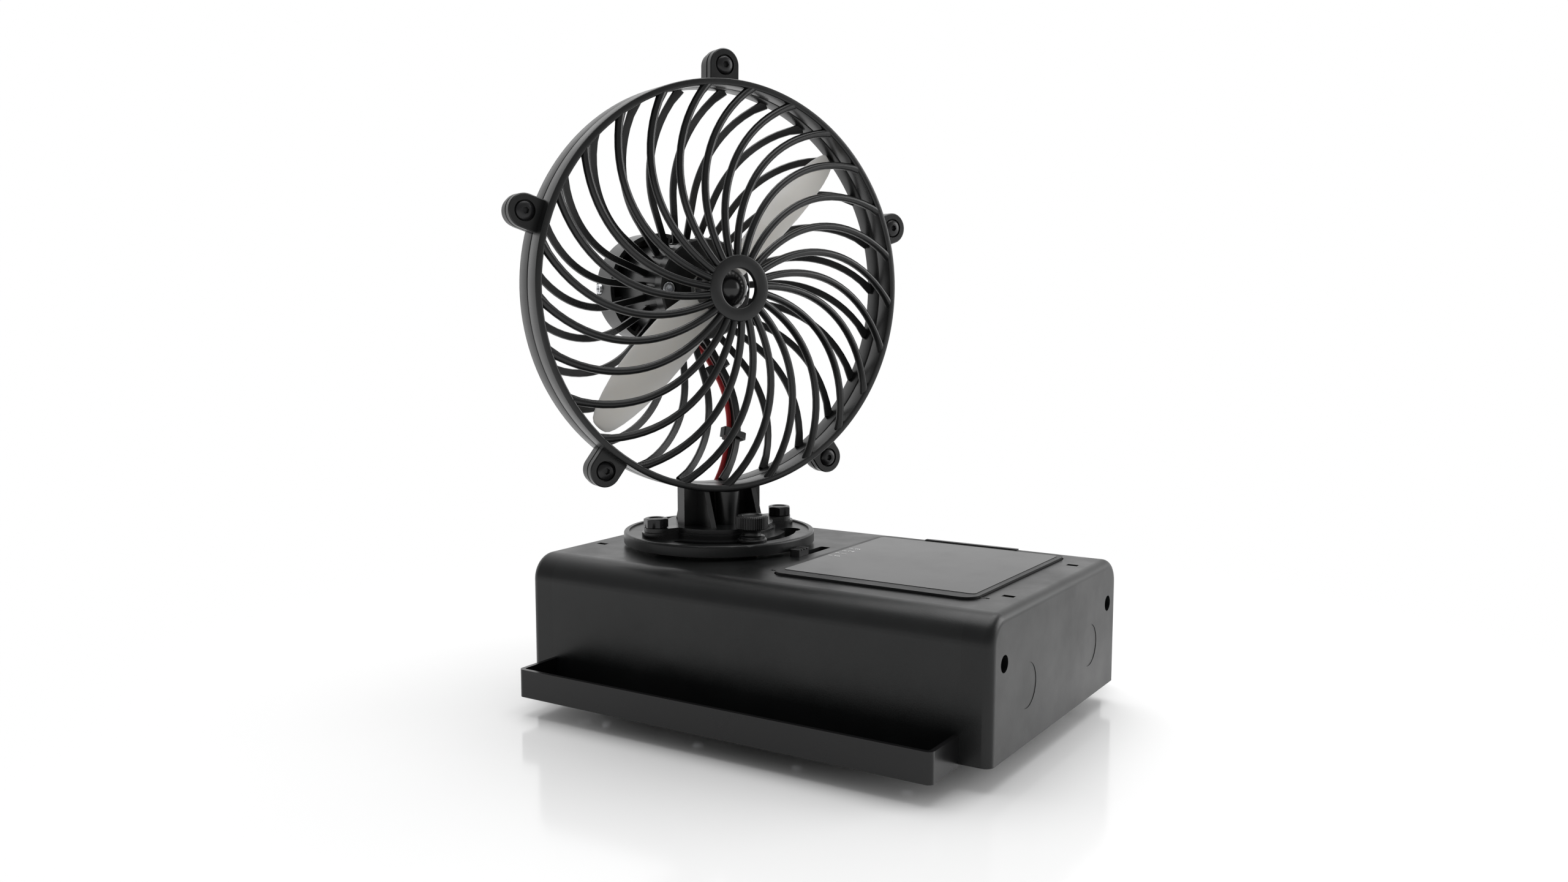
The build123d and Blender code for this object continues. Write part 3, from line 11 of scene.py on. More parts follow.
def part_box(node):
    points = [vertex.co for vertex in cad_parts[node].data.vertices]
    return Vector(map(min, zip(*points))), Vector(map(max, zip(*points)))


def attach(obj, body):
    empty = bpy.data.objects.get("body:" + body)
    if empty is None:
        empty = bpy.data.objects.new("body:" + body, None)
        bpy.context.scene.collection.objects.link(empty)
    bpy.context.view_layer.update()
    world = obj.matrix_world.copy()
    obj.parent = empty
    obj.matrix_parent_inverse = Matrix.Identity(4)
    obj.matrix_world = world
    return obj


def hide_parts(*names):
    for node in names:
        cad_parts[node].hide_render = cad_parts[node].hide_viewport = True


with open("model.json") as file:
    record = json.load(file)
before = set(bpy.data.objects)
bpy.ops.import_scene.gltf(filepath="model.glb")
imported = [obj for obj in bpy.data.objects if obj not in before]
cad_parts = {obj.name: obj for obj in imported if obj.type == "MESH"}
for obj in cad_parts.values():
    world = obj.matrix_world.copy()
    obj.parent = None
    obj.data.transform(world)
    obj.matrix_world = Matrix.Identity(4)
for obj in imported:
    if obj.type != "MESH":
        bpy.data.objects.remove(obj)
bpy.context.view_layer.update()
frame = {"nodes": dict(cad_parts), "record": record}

MM = 0.001
nodes = frame["nodes"]
joints = {joint["name"]: joint for joint in frame["record"]["behaviour"]["joints"]}
node_slots = {row["node"]: row["material_slot"] for row in frame["record"]["subparts"]}

# ---------------------------------------------------------------- places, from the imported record
fan_centre = Vector(joints["propeller_spin"]["pos_m"])
fan_dir = Vector(joints["propeller_spin"]["axis"]).normalized()
side_dir = Vector((0, 0, 1)).cross(fan_dir)
clamp_centre = Vector(joints["clamp_turn"]["pos_m"])
table_centre = Vector(joints["fan_yaw"]["pos_m"])
floor_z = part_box("front_wheels")[0][2]


def basis(origin, x_dir, y_dir, z_dir):
    """Matrix from a local frame in millimetres to the row frame in metres."""
    rotation = Matrix((x_dir, y_dir, z_dir)).transposed().to_4x4()
    return Matrix.Translation(origin) @ rotation @ Matrix.Scale(MM, 4)


# local x runs across the fan, y up and z forward along its axis, in mm
fan_frame = basis(fan_centre, side_dir, Vector((0, 0, 1)), fan_dir)
# local x runs along the fan's direction, y across and z up, with z = 0 at the cart's underside
table_frame = basis(Vector((table_centre.x, table_centre.y, 0)), fan_dir, side_dir, Vector((0, 0, 1)))
clamp_frame = basis(Vector((clamp_centre.x, clamp_centre.y, 0)), fan_dir, side_dir, Vector((0, 0, 1)))
cart_frame = Matrix.Scale(MM, 4)


# ================================================================ materials
def new_material(name):
    material = bpy.data.materials.new(name)
    material.use_nodes = True
    tree = material.node_tree
    return material, tree, tree.nodes["Principled BSDF"]


def add_node(tree, kind, **inputs):
    node = tree.nodes.new(kind)
    for key, value in inputs.items():
        node.inputs[key.replace("_", " ")].default_value = value
    return node


def moulded(
    name, colour, rough, grain=0.25, grain_size=0.35, variation=0.25, wear=0.2, metallic=0.0, **uniform
):
    """Moulded or coated surface: fine grain, patchy roughness, a little colour drift and paler edges.

    colour is linear RGB, rough is (least, most) and grain_size is in mm; uniform sets shader sockets.
    """
    material, tree, shader = new_material(name)
    link = tree.links.new
    place = tree.nodes.new("ShaderNodeTexCoord")
    patches = add_node(tree, "ShaderNodeTexNoise", Scale=55.0, Detail=4.0, Roughness=0.6)
    link(place.outputs["Object"], patches.inputs["Vector"])
    fine = add_node(tree, "ShaderNodeTexNoise", Scale=1.0 / (grain_size * MM), Detail=2.0, Roughness=0.5)
    link(place.outputs["Object"], fine.inputs["Vector"])

    least, most = rough
    rough_range = add_node(
        tree, "ShaderNodeMapRange", From_Min=0.3, From_Max=0.7, To_Min=least, To_Max=most
    )
    link(patches.outputs["Fac"], rough_range.inputs["Value"])
    link(rough_range.outputs["Result"], shader.inputs["Roughness"])

    tone = tree.nodes.new("ShaderNodeMix")
    tone.data_type = "RGBA"
    tone.inputs["A"].default_value = (*[c * (1 - variation) for c in colour], 1)
    tone.inputs["B"].default_value = (*[min(1.0, c * (1 + variation)) for c in colour], 1)
    link(patches.outputs["Fac"], tone.inputs["Factor"])

    geometry = tree.nodes.new("ShaderNodeNewGeometry")
    edge = add_node(tree, "ShaderNodeMapRange", From_Min=0.53, From_Max=0.62, To_Min=0.0, To_Max=wear)
    link(geometry.outputs["Pointiness"], edge.inputs["Value"])
    worn = tree.nodes.new("ShaderNodeMix")
    worn.data_type = "RGBA"
    worn.inputs["B"].default_value = (*[min(1.0, c * 1.5 + 0.012) for c in colour], 1)
    link(tone.outputs["Result"], worn.inputs["A"])
    link(edge.outputs["Result"], worn.inputs["Factor"])
    link(worn.outputs["Result"], shader.inputs["Base Color"])

    bump = add_node(tree, "ShaderNodeBump", Strength=grain, Distance=0.00006)
    link(fine.outputs["Fac"], bump.inputs["Height"])
    link(bump.outputs["Normal"], shader.inputs["Normal"])
    shader.inputs["Metallic"].default_value = metallic
    for key, value in uniform.items():
        shader.inputs[key.replace("_", " ")].default_value = value
    return material


BRUSHED_SCALE = (40.0, 900.0, 900.0)


def metal(name, colour, rough):
    """Ground or plated metal with fine drawn lines and patchy roughness."""
    material = moulded(name, colour, rough, grain=0.0, variation=0.12, wear=0.3, metallic=1.0)
    tree = material.node_tree
    shader = tree.nodes["Principled BSDF"]
    place = tree.nodes.new("ShaderNodeTexCoord")
    stretch = tree.nodes.new("ShaderNodeMapping")
    stretch.inputs["Scale"].default_value = BRUSHED_SCALE
    lines = add_node(tree, "ShaderNodeTexNoise", Scale=4.0, Detail=3.0)
    bump = add_node(tree, "ShaderNodeBump", Strength=0.25, Distance=0.00002)
    tree.links.new(place.outputs["Object"], stretch.inputs["Vector"])
    tree.links.new(stretch.outputs["Vector"], lines.inputs["Vector"])
    tree.links.new(lines.outputs["Fac"], bump.inputs["Height"])
    tree.links.new(bump.outputs["Normal"], shader.inputs["Normal"])
    return material


materials = {
    "black_abs": moulded(
        "black_abs", (0.0045, 0.0050, 0.0052), (0.28, 0.40), grain=0.35, Specular_IOR_Level=0.38
    ),
    "tray_black": moulded(
        "tray_black", (0.0040, 0.0040, 0.0044), (0.20, 0.30), grain=0.12, Specular_IOR_Level=0.38
    ),
    "door_black": moulded(
        "door_black", (0.012, 0.0125, 0.013), (0.36, 0.48), grain=0.35, Specular_IOR_Level=0.22
    ),
    "label_black": moulded(
        "label_black", (0.0030, 0.0030, 0.0033), (0.12, 0.20), grain=0.05, wear=0.0, Specular_IOR_Level=0.2
    ),
    "guard_black": moulded(
        "guard_black", (0.0055, 0.0058, 0.0060), (0.24, 0.34), grain=0.2, Specular_IOR_Level=0.45
    ),
    "propeller_white": moulded(
        "propeller_white", (0.80, 0.785, 0.75), (0.28, 0.38), grain=0.10, variation=0.04, wear=0.0,
        Subsurface_Weight=0.4, Subsurface_Scale=0.003, Subsurface_Radius=(1.0, 0.9, 0.8),
    ),
    "spinner_black": moulded("spinner_black", (0.0050, 0.0050, 0.0055), (0.16, 0.26), grain=0.10),
    "wheel_black": moulded("wheel_black", (0.010, 0.010, 0.010), (0.55, 0.75), grain=0.5, grain_size=0.5),
    "steel": metal("steel", (0.52, 0.53, 0.54), (0.22, 0.36)),
    "zinc_screw": metal("zinc_screw", (0.62, 0.63, 0.65), (0.20, 0.34)),
    "black_screw": moulded("black_screw", (0.012, 0.012, 0.013), (0.24, 0.38), grain=0.2, metallic=0.3),
    "brass_insert": metal("brass_insert", (0.65, 0.44, 0.16), (0.25, 0.38)),
    "magnet_nickel": metal("magnet_nickel", (0.60, 0.59, 0.57), (0.12, 0.22)),
    "ferrite": moulded("ferrite", (0.03, 0.03, 0.031), (0.6, 0.75), grain=0.6),
    "board_green": moulded("board_green", (0.010, 0.085, 0.032), (0.25, 0.35), grain=0.1),
    "component_black": moulded("component_black", (0.0055, 0.0055, 0.006), (0.36, 0.50), grain=0.35),
    "cell_case": moulded(
        "cell_case", (0.045, 0.05, 0.058), (0.22, 0.32), grain=0.05, Coat_Weight=0.4, Coat_Roughness=0.1
    ),
    "contact_steel": metal("contact_steel", (0.62, 0.60, 0.56), (0.18, 0.3)),
    "washer_nylon": moulded("washer_nylon", (0.62, 0.60, 0.55), (0.35, 0.5), grain=0.2, variation=0.05),
    "red_pvc": moulded("red_pvc", (0.46, 0.018, 0.022), (0.32, 0.45), grain=0.2, variation=0.12, wear=0.0),
    "black_pvc": moulded("black_pvc", (0.0050, 0.0050, 0.0055), (0.32, 0.45), grain=0.2, wear=0.0),
    "tie_black": moulded("tie_black", (0.0055, 0.0055, 0.006), (0.38, 0.5), grain=0.3),
    "motor_steel": metal("motor_steel", (0.50, 0.51, 0.52), (0.25, 0.38)),
    "copper_core": metal("copper_core", (0.50, 0.20, 0.09), (0.3, 0.45)),
}
print_white = moulded("print_white", (0.93, 0.93, 0.93), (0.45, 0.6), grain=0.05, variation=0.05, wear=0.0)

for node_name, node_object in nodes.items():
    node_object.data.materials.clear()
    node_object.data.materials.append(materials[node_slots[node_name]])


# ================================================================ mesh helpers
def make_piece(name, mesh_data, body, slot, replaces=(), sharp=35, material=None):
    """An object from (vertices, faces) in the row frame that rides a body and takes a slot's material."""
    vertices, faces = mesh_data
    mesh = bpy.data.meshes.new(name)
    mesh.from_pydata([tuple(v) for v in vertices], [], faces)
    mesh.validate()
    piece = bpy.data.objects.new(name, mesh)
    bpy.context.scene.collection.objects.link(piece)
    edit = bmesh.new()
    edit.from_mesh(mesh)
    bmesh.ops.remove_doubles(edit, verts=edit.verts, dist=1e-7)
    bmesh.ops.recalc_face_normals(edit, faces=edit.faces)
    edit.to_mesh(mesh)
    edit.free()
    mesh.materials.append(material or materials[slot])
    for polygon in mesh.polygons:
        polygon.use_smooth = True
    mesh.set_sharp_from_angle(angle=radians(sharp))
    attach(piece, body)
    if replaces:
        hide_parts(*replaces)
    return piece


def join(*parts):
    """Several (vertices, faces) lists as one."""
    vertices, faces = [], []
    for part_vertices, part_faces in parts:
        start = len(vertices)
        vertices += part_vertices
        faces += [[i + start for i in face] for face in part_faces]
    return vertices, faces


def placed(mesh_data, matrix):
    vertices, faces = mesh_data
    return [matrix @ Vector(v) for v in vertices], faces


def rings(loops, closed_ends=True, closed_rows=False):
    """Quads between loops of equal length, with the two end loops capped."""
    count = len(loops[0])
    vertices = [v for loop in loops for v in loop]
    faces = []
    rows = len(loops) if closed_rows else len(loops) - 1
    for row in range(rows):
        below, above = row * count, (row + 1) % len(loops) * count
        for i in range(count):
            j = (i + 1) % count
            faces.append([below + i, below + j, above + j, above + i])
    if closed_ends and not closed_rows:
        faces.append(list(range(count))[::-1])
        faces.append([(len(loops) - 1) * count + i for i in range(count)])
    return vertices, faces


def turned(profile, segments=96, closed=True):
    """Body of revolution about local z from (radius, height) points; closed makes the profile a loop."""
    loops = [
        [(r * cos(2 * pi * i / segments), r * sin(2 * pi * i / segments), z) for i in range(segments)]
        for r, z in profile
    ]
    return rings(loops, closed_ends=not closed, closed_rows=closed)


def rounded_profile(r_in, r_out, z_low, z_high, radius, steps=3):
    """Rectangle with rounded corners, as (radius, height) points."""
    corners = (
        (r_out - radius, z_low + radius, -90),
        (r_out - radius, z_high - radius, 0),
        (r_in + radius, z_high - radius, 90),
        (r_in + radius, z_low + radius, 180),
    )
    points = []
    for x, y, start in corners:
        for i in range(steps + 1):
            angle = radians(start + 90 * i / steps)
            points.append((x + radius * cos(angle), y + radius * sin(angle)))
    return points


def swept(path, across, section):
    """Section points (across, up) carried along a path; across gives the sideways direction at each point."""
    loops = []
    for i, point in enumerate(path):
        ahead = path[min(i + 1, len(path) - 1)] - path[max(i - 1, 0)]
        side = across[i] - ahead * (across[i].dot(ahead) / ahead.length_squared)
        side.normalize()
        up = side.cross(ahead).normalized()
        loops.append([point + side * a + up * b for a, b in section(i / (len(path) - 1))])
    return rings(loops)


# ================================================================ guards
RING_OUTER, RING_INNER = 75.06, 72.6
RING_FRONT, RING_SPLIT, RING_REAR = 9.2, 1.3, -6.4
RIB_COUNT, RIB_WIDTH, RIB_DEPTH = 25, 2.8, 2.4
RIB_STEPS = 22
LUG_COUNT, LUG_RADIUS, LUG_TIP, LUG_ROOT = 5, 80.6, 5.9, 73.2
LUG_TURN = 0.7
LUG_RECESS_RADIUS = 3.7
NUT_POCKET_RADIUS = 3.2
FRONT_RIB_START, FRONT_RIB_END = 10.6, 73.6
REAR_RIB_START, REAR_RIB_END = 16.5, 69.2
REAR_BEND_START, REAR_BEND_RADIUS = 34.0, 38.2
HUB_RING_INNER, HUB_RING_OUTER, HUB_RING_BACK, HUB_RING_FRONT = 7.2, 12.1, 13.9, 16.45
SLEEVE_INNER, SLEEVE_OUTER, SLEEVE_BACK, SLEEVE_FRONT = 14.1, 17.5, -59.5, -15.0
MOUNT_SCREW = 15.8  # from the fan's axis to each motor mount screw
RAIL_RADIUS = 17.3
RAIL_PLACES = (-28.5, -24.0, -20.0, -15.2)
RAIL_SECTION = [(-1.3, -0.8), (1.3, -0.8), (0.9, 0.8), (-0.9, 0.8)]


def rib_section(swell, flip):
    """Half-round ridge on a narrow flat foot; flip puts the ridge on the other side."""
    half, low, high = RIB_WIDTH / 2 * swell, -RIB_DEPTH / 2, RIB_DEPTH / 2
    points = [(-half * 0.82, low), (half * 0.82, low), (half, low + 0.5)]
    for i in range(7):
        angle = radians(14 + 152 * i / 6)
        points.append((half * cos(angle), low + 0.5 + (high - low - 0.5) * sin(angle)))
    points.append((-half, low + 0.5))
    return [(a, -b if flip else b) for a, b in points]


def front_rib(turn):
    """One front rib: it sweeps clockwise as it runs out and back to the ring."""
    path = []
    for i in range(RIB_STEPS + 1):
        r = FRONT_RIB_START + (FRONT_RIB_END - FRONT_RIB_START) * i / RIB_STEPS
        sweep = radians(0.3 + 0.35 * (r - 14) + 0.0045 * (r - 14) ** 2) + turn
        depth = RING_FRONT + 7.1 * (1 - (r - 12) / 61) - RIB_DEPTH / 2
        path.append(Vector((r * sin(sweep), r * cos(sweep), depth)))
    return rib_along(path, flip=False)


def rear_rib(turn):
    """One rear rib: straight at first, then an arc out to the ring."""
    path = []
    for i in range(RIB_STEPS + 1):
        out = REAR_RIB_START + (REAR_RIB_END - REAR_RIB_START) * i / RIB_STEPS
        past = max(0.0, out - REAR_BEND_START)
        side = REAR_BEND_RADIUS - sqrt(REAR_BEND_RADIUS**2 - past**2)
        r = hypot(side, out)
        depth = RING_REAR - 0.3815 * (72 - r) + RIB_DEPTH / 2
        path.append(Vector((side * cos(turn) + out * sin(turn), out * cos(turn) - side * sin(turn), depth)))
    return rib_along(path, flip=True)


def rib_along(path, flip):
    """A rib with its width level with the fan's plane; it swells where it meets the ring."""
    forward = Vector((0, 0, 1))
    across = []
    for i in range(len(path)):
        ahead = path[min(i + 1, len(path) - 1)] - path[max(i - 1, 0)]
        across.append(ahead.cross(forward).normalized())

    def section(t):
        swell = 1 + 0.35 * max(0.0, (t - 0.93) / 0.07) ** 2
        return rib_section(swell, flip)

    return swept(path, across, section)


def lug(turn, z_low, z_high, tip, recess_radius, recess_depth, recess_at_top):
    """One rounded ear of the ring with a shallow round recess about its screw."""
    count, edge = 64, 0.35
    loops = []

    def outline(inset):
        points = []
        for i in range(count):
            angle = 2 * pi * i / count
            x, y = cos(angle), sin(angle)
            reach = tip - inset
            if y < 0:
                limits = [(tip - inset) / abs(x)] if abs(x) > 1e-6 else []
                limits.append((LUG_RADIUS - LUG_ROOT) / abs(y))
                reach = min(limits)
            points.append((reach * x, reach * y))
        return points

    def circle(radius):
        return [(radius * cos(2 * pi * i / count), radius * sin(2 * pi * i / count)) for i in range(count)]

    order = [
        (circle(1.0), z_low if recess_at_top else z_low + recess_depth),
        (circle(recess_radius), z_low if recess_at_top else z_low + recess_depth),
        (circle(recess_radius + 0.01), z_low),
        (outline(edge), z_low),
        (outline(0), z_low + edge),
        (outline(0), z_high - edge),
        (outline(edge), z_high),
        (circle(recess_radius + 0.01), z_high),
        (circle(recess_radius), z_high - recess_depth if recess_at_top else z_high),
        (circle(1.0), z_high - recess_depth if recess_at_top else z_high),
    ]
    for points, z in order:
        loops.append([(x, LUG_RADIUS + y, z) for x, y in points])
    return placed(rings(loops), Matrix.Rotation(-turn, 4, "Z"))


lug_turns = [radians(LUG_TURN + 360 * i / LUG_COUNT) for i in range(LUG_COUNT)]
rib_turns = [2 * pi * i / RIB_COUNT for i in range(RIB_COUNT)]

front_parts = [front_rib(turn) for turn in rib_turns]
front_parts.append(turned(rounded_profile(RING_INNER, RING_OUTER, RING_SPLIT + 0.15, RING_FRONT, 0.55), 160))
hub_ring_profile = rounded_profile(HUB_RING_INNER, HUB_RING_OUTER, HUB_RING_BACK, HUB_RING_FRONT, 0.5)
front_parts.append(turned(hub_ring_profile, 72))
front_parts += [
    lug(turn, RING_SPLIT + 0.3, 4.4, LUG_TIP, LUG_RECESS_RADIUS, 1.2, True) for turn in lug_turns
]
make_piece(
    "front_guard_mesh", placed(join(*front_parts), fan_frame),
    "turntable", "guard_black", ("front_guard", "front_grille"),
)

rear_parts = [rear_rib(turn) for turn in rib_turns]
rear_parts.append(turned(rounded_profile(RING_INNER, RING_OUTER, RING_REAR, RING_SPLIT, 0.5), 160))
sleeve_profile = rounded_profile(SLEEVE_INNER, SLEEVE_OUTER, SLEEVE_BACK, SLEEVE_FRONT, 0.3)
rear_parts.append(turned(sleeve_profile, 96))
rear_parts += [lug(turn, -1.5, RING_SPLIT, LUG_TIP, 2.0, 0.4, False) for turn in lug_turns]
rear_parts += [
    lug(turn, -4.3, -1.5, LUG_TIP - 0.6, NUT_POCKET_RADIUS, 2.3, False) for turn in lug_turns
]
for turn in rib_turns:
    # the root of each rib runs forward along the sleeve as a low rail
    outward = Vector((sin(turn), cos(turn), 0))
    aside = Vector((cos(turn), -sin(turn), 0))
    rail = [outward * RAIL_RADIUS + Vector((0, 0, z)) for z in RAIL_PLACES]
    rear_parts.append(swept(rail, [aside] * len(rail), lambda t: RAIL_SECTION))
for side in (-1, 1):
    boss = turned(rounded_profile(1.2, 2.9, -27.0, SLEEVE_FRONT, 0.2), 32)
    rear_parts.append(placed(boss, Matrix.Translation((side * MOUNT_SCREW, 0, 0))))
make_piece(
    "rear_guard_mesh", placed(join(*rear_parts), fan_frame),
    "turntable", "guard_black", ("rear_guard", "rear_grille"),
)


# ================================================================ screws
def circle_points(radius, z, count):
    return [(radius * cos(2 * pi * i / count), radius * sin(2 * pi * i / count), z) for i in range(count)]


def socket_head(radius, z_low, z_high, socket_radius, dome):
    """Round screw head with a hexagonal socket; dome is the share of its height that is rounded."""
    count = 48
    height = z_high - z_low
    loops = [circle_points(radius, z_low, count)]
    for step in range(5):
        angle = radians(90 * step / 4)
        r = socket_radius * 1.25 + (radius - socket_radius * 1.25) * cos(angle)
        z = z_high - height * dome * (1 - sin(angle))
        loops.append(circle_points(r, z, count))
    for depth in (0.0, height * 0.6):
        hexagon = []
        for i in range(count):
            angle = 2 * pi * i / count
            reach = socket_radius * cos(pi / 6) / cos((angle % (pi / 3)) - pi / 6)
            hexagon.append((reach * cos(angle), reach * sin(angle), z_high - depth))
        loops.append(hexagon)
    loops.append([(x * 0.5, y * 0.5, z) for x, y, z in loops[-1]])
    return rings(loops)


def shank(radius, z_low, z_high, segments=32):
    return turned([(radius - 0.2, z_low), (radius, z_low + 0.3), (radius, z_high)], segments, closed=False)


screw_parts = []
for turn in lug_turns:
    spot = Matrix.Rotation(-turn, 4, "Z") @ Matrix.Translation((0, LUG_RADIUS, 0))
    screw_parts.append(placed(join(socket_head(3.4, 3.2, 5.1, 1.25, 0.75), shank(1.5, -4.2, 3.3)), spot))
make_piece(
    "guard_screws_mesh", placed(join(*screw_parts), fan_frame),
    "turntable", "black_screw", ("guard_screws",),
)

mount_parts = []
for side in (-1, 1):
    spot = Matrix.Translation((side * MOUNT_SCREW, 0, 0))
    mount_parts.append(placed(join(socket_head(2.6, -11.5, -8.5, 1.3, 0.18), shank(1.2, -25, -11.4)), spot))
make_piece(
    "mount_screws_mesh", placed(join(*mount_parts), fan_frame),
    "turntable", "zinc_screw", ("mount_screws",),
)


def hex_bolt(z_low, z_high, across_corners, shank_radius, shank_bottom):
    """Hex head with a chamfered top, a shallow round dimple and its shank."""
    count = 72
    flat = across_corners / 2 * cos(pi / 6)

    def hexagon(z, chamfer):
        points = []
        for i in range(count):
            angle = 2 * pi * i / count
            reach = flat / cos((angle % (pi / 3)) - pi / 6)
            points.append((reach * cos(angle), reach * sin(angle), z - chamfer * (reach - flat * 0.97)))
        return points

    head = rings([
        circle_points(shank_radius, z_low, count),
        circle_points(flat * 0.96, z_low, count),
        hexagon(z_low + 0.25, 0),
        hexagon(z_high, 0.6),
        circle_points(flat * 0.95, z_high, count),
        circle_points(2.9, z_high, count),
        circle_points(2.5, z_high - 0.35, count),
        circle_points(1.0, z_high - 0.4, count),
    ])
    return join(head, shank(shank_radius, shank_bottom, z_low + 0.1))


BOLT_OFFSET = 26.6
BOLT_HEAD_BOTTOM, BOLT_HEAD_TOP, BOLT_ACROSS_CORNERS = 53.7, 57.2, 9.2
BOLT_SHANK_RADIUS, BOLT_SHANK_BOTTOM = 2.5, 47.1

bolt_parts = []
for side in (-1, 1):
    turn = Matrix.Rotation(radians(12 + 20 * side), 4, "Z")
    bolt = hex_bolt(
        BOLT_HEAD_BOTTOM, BOLT_HEAD_TOP, BOLT_ACROSS_CORNERS, BOLT_SHANK_RADIUS, BOLT_SHANK_BOTTOM
    )
    bolt_parts.append(placed(bolt, Matrix.Translation((0, BOLT_OFFSET * side, 0)) @ turn))
make_piece(
    "post_bolts_mesh", placed(join(*bolt_parts), table_frame),
    "turntable", "black_screw", ("post_bolts",),
)


# ================================================================ thumbscrew
def knurled_knob(radius, z_low, z_high, teeth, depth):
    """Knurled knob: straight teeth with chamfered ends, and a shallow dish on top."""
    count = teeth * 4
    pattern = (0.0, 0.0, depth, depth)

    def toothed(z, inset):
        points = []
        for i in range(count):
            r = radius - max(inset, pattern[i % 4])
            angle = 2 * pi * i / count
            points.append((r * cos(angle), r * sin(angle), z))
        return points

    return rings([
        toothed(z_low, radius - 2.2),
        toothed(z_low, 0.75),
        toothed(z_low + 0.5, 0),
        toothed(z_high - 0.5, 0),
        toothed(z_high - 0.05, 0.7),
        toothed(z_high, 1.1),
        toothed(z_high, radius - 3.7),
        toothed(z_high - 0.5, radius - 3.2),
        toothed(z_high - 0.6, radius - 1.0),
    ])


KNOB_RADIUS, KNOB_BOTTOM, KNOB_TOP, KNOB_TEETH, KNURL_DEPTH = 5.8, 54.8, 59.8, 44, 0.38

knob_mesh = knurled_knob(KNOB_RADIUS, KNOB_BOTTOM, KNOB_TOP, KNOB_TEETH, KNURL_DEPTH)
make_piece(
    "thumbscrew_knob_mesh", placed(knob_mesh, clamp_frame),
    "clamp_screw", "guard_black", ("thumbscrew_knob",),
)
# radius and height: thread, wide flange, step, neck, and the pin inside the knob
stud_profile = [
    (1.6, 38.5), (1.95, 38.9), (1.95, 50.2),
    (5.1, 50.2), (5.35, 50.45), (5.35, 51.1), (5.1, 51.4),
    (4.6, 51.45), (4.6, 52.25), (4.3, 52.5),
    (3.25, 52.6), (3.1, 53.4), (3.25, 54.3), (3.6, 54.8),
    (2.2, 54.85), (2.2, 58.7),
]
make_piece(
    "thumbscrew_stud_mesh", placed(turned(stud_profile, 64, closed=False), clamp_frame),
    "clamp_screw", "guard_black", ("thumbscrew_stud",),
)

# ================================================================ propeller and spinner
BLADE_ANGLE = 44.7
BLADE_SECTION_POINTS = 28
# radius, chord, thickness, pitch in degrees and place along the axis, in mm
blade_stations = (
    (5.0, 10.5, 2.8, -38.0, -0.6),
    (11.0, 14.8, 2.7, -37.2, -1.0),
    (18.0, 18.0, 2.5, -36.0, -1.4),
    (25.0, 18.6, 2.3, -33.2, -1.6),
    (32.0, 18.6, 2.2, -30.0, -1.6),
    (39.0, 18.4, 2.0, -27.2, -1.5),
    (46.0, 17.8, 1.9, -24.5, -1.2),
    (52.0, 16.5, 1.75, -22.4, -0.9),
    (58.0, 14.4, 1.6, -20.5, -0.5),
    (62.5, 12.3, 1.45, -19.0, -0.2),
    (66.0, 10.0, 1.3, -17.9, 0.0),
    (68.2, 7.8, 1.1, -17.3, 0.1),
    (69.3, 5.4, 0.9, -17.0, 0.2),
    (69.6, 3.0, 0.6, -17.0, 0.2),
)


def blade_mesh(angle):
    """One blade: thin cambered sections, twisted along the radius, with a rounded tip."""
    out = Vector((sin(radians(angle)), cos(radians(angle)), 0))
    forward = Vector((0, 0, 1))
    around = out.cross(forward)
    loops = []
    for radius, chord, thickness, pitch, place_on_axis in blade_stations:
        chord_dir = around * cos(radians(pitch)) + forward * sin(radians(pitch))
        normal = out.cross(chord_dir)
        centre = out * radius + forward * place_on_axis
        loop = []
        for i in range(BLADE_SECTION_POINTS):
            t = 2 * pi * i / BLADE_SECTION_POINTS
            along = cos(t)
            camber = 0.35 * (1 - along**2)
            half = thickness / 2 * (0.25 + 0.75 * (1 - max(0.0, -along) ** 2)) * sin(t)
            loop.append(centre + chord_dir * (along * chord / 2) + normal * (camber - 0.2 + half))
        loops.append(loop)
    return rings(loops)


hub_profile = rounded_profile(1.15, 7.8, -4.0, 4.0, 0.5)
propeller_parts = [blade_mesh(BLADE_ANGLE), blade_mesh(BLADE_ANGLE + 180), turned(hub_profile, 64)]
make_piece(
    "propeller_mesh", placed(join(*propeller_parts), fan_frame),
    "fan_rotor", "propeller_white", ("propeller",), sharp=50,
)

SPINNER_RADIUS, SPINNER_SHOULDER, SPINNER_RISE, SPINNER_STEPS = 9.2, 3.2, 10.0, 12

spinner_profile = [(8.0, -1.0), (9.0, -1.0), (SPINNER_RADIUS, -0.8), (SPINNER_RADIUS, SPINNER_SHOULDER)]
for i in range(1, SPINNER_STEPS):
    angle = radians(90 * i / SPINNER_STEPS)
    spinner_profile.append(
        (SPINNER_RADIUS * cos(angle) ** 1.15, SPINNER_SHOULDER + SPINNER_RISE * sin(angle))
    )
spinner_profile.append((0.05, SPINNER_SHOULDER + SPINNER_RISE))
make_piece(
    "spinner_mesh", placed(turned(spinner_profile, 72, closed=False), fan_frame),
    "fan_rotor", "spinner_black", ("spinner",),
)

# ================================================================ battery contacts, seen past the open door
CELL_COUNT, CELL_PITCH = 4, 15.0
CONTACT_REACH, PLATE_HALF, PLATE_THICKNESS = 28.5, 5, 0.5
cell_low, cell_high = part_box("battery_cells")
cell_x = (cell_low[0] + cell_high[0]) / 2 / MM
cell_y = (cell_low[1] + cell_high[1]) / 2 / MM
cell_z = (cell_low[2] + cell_high[2]) / 2 / MM


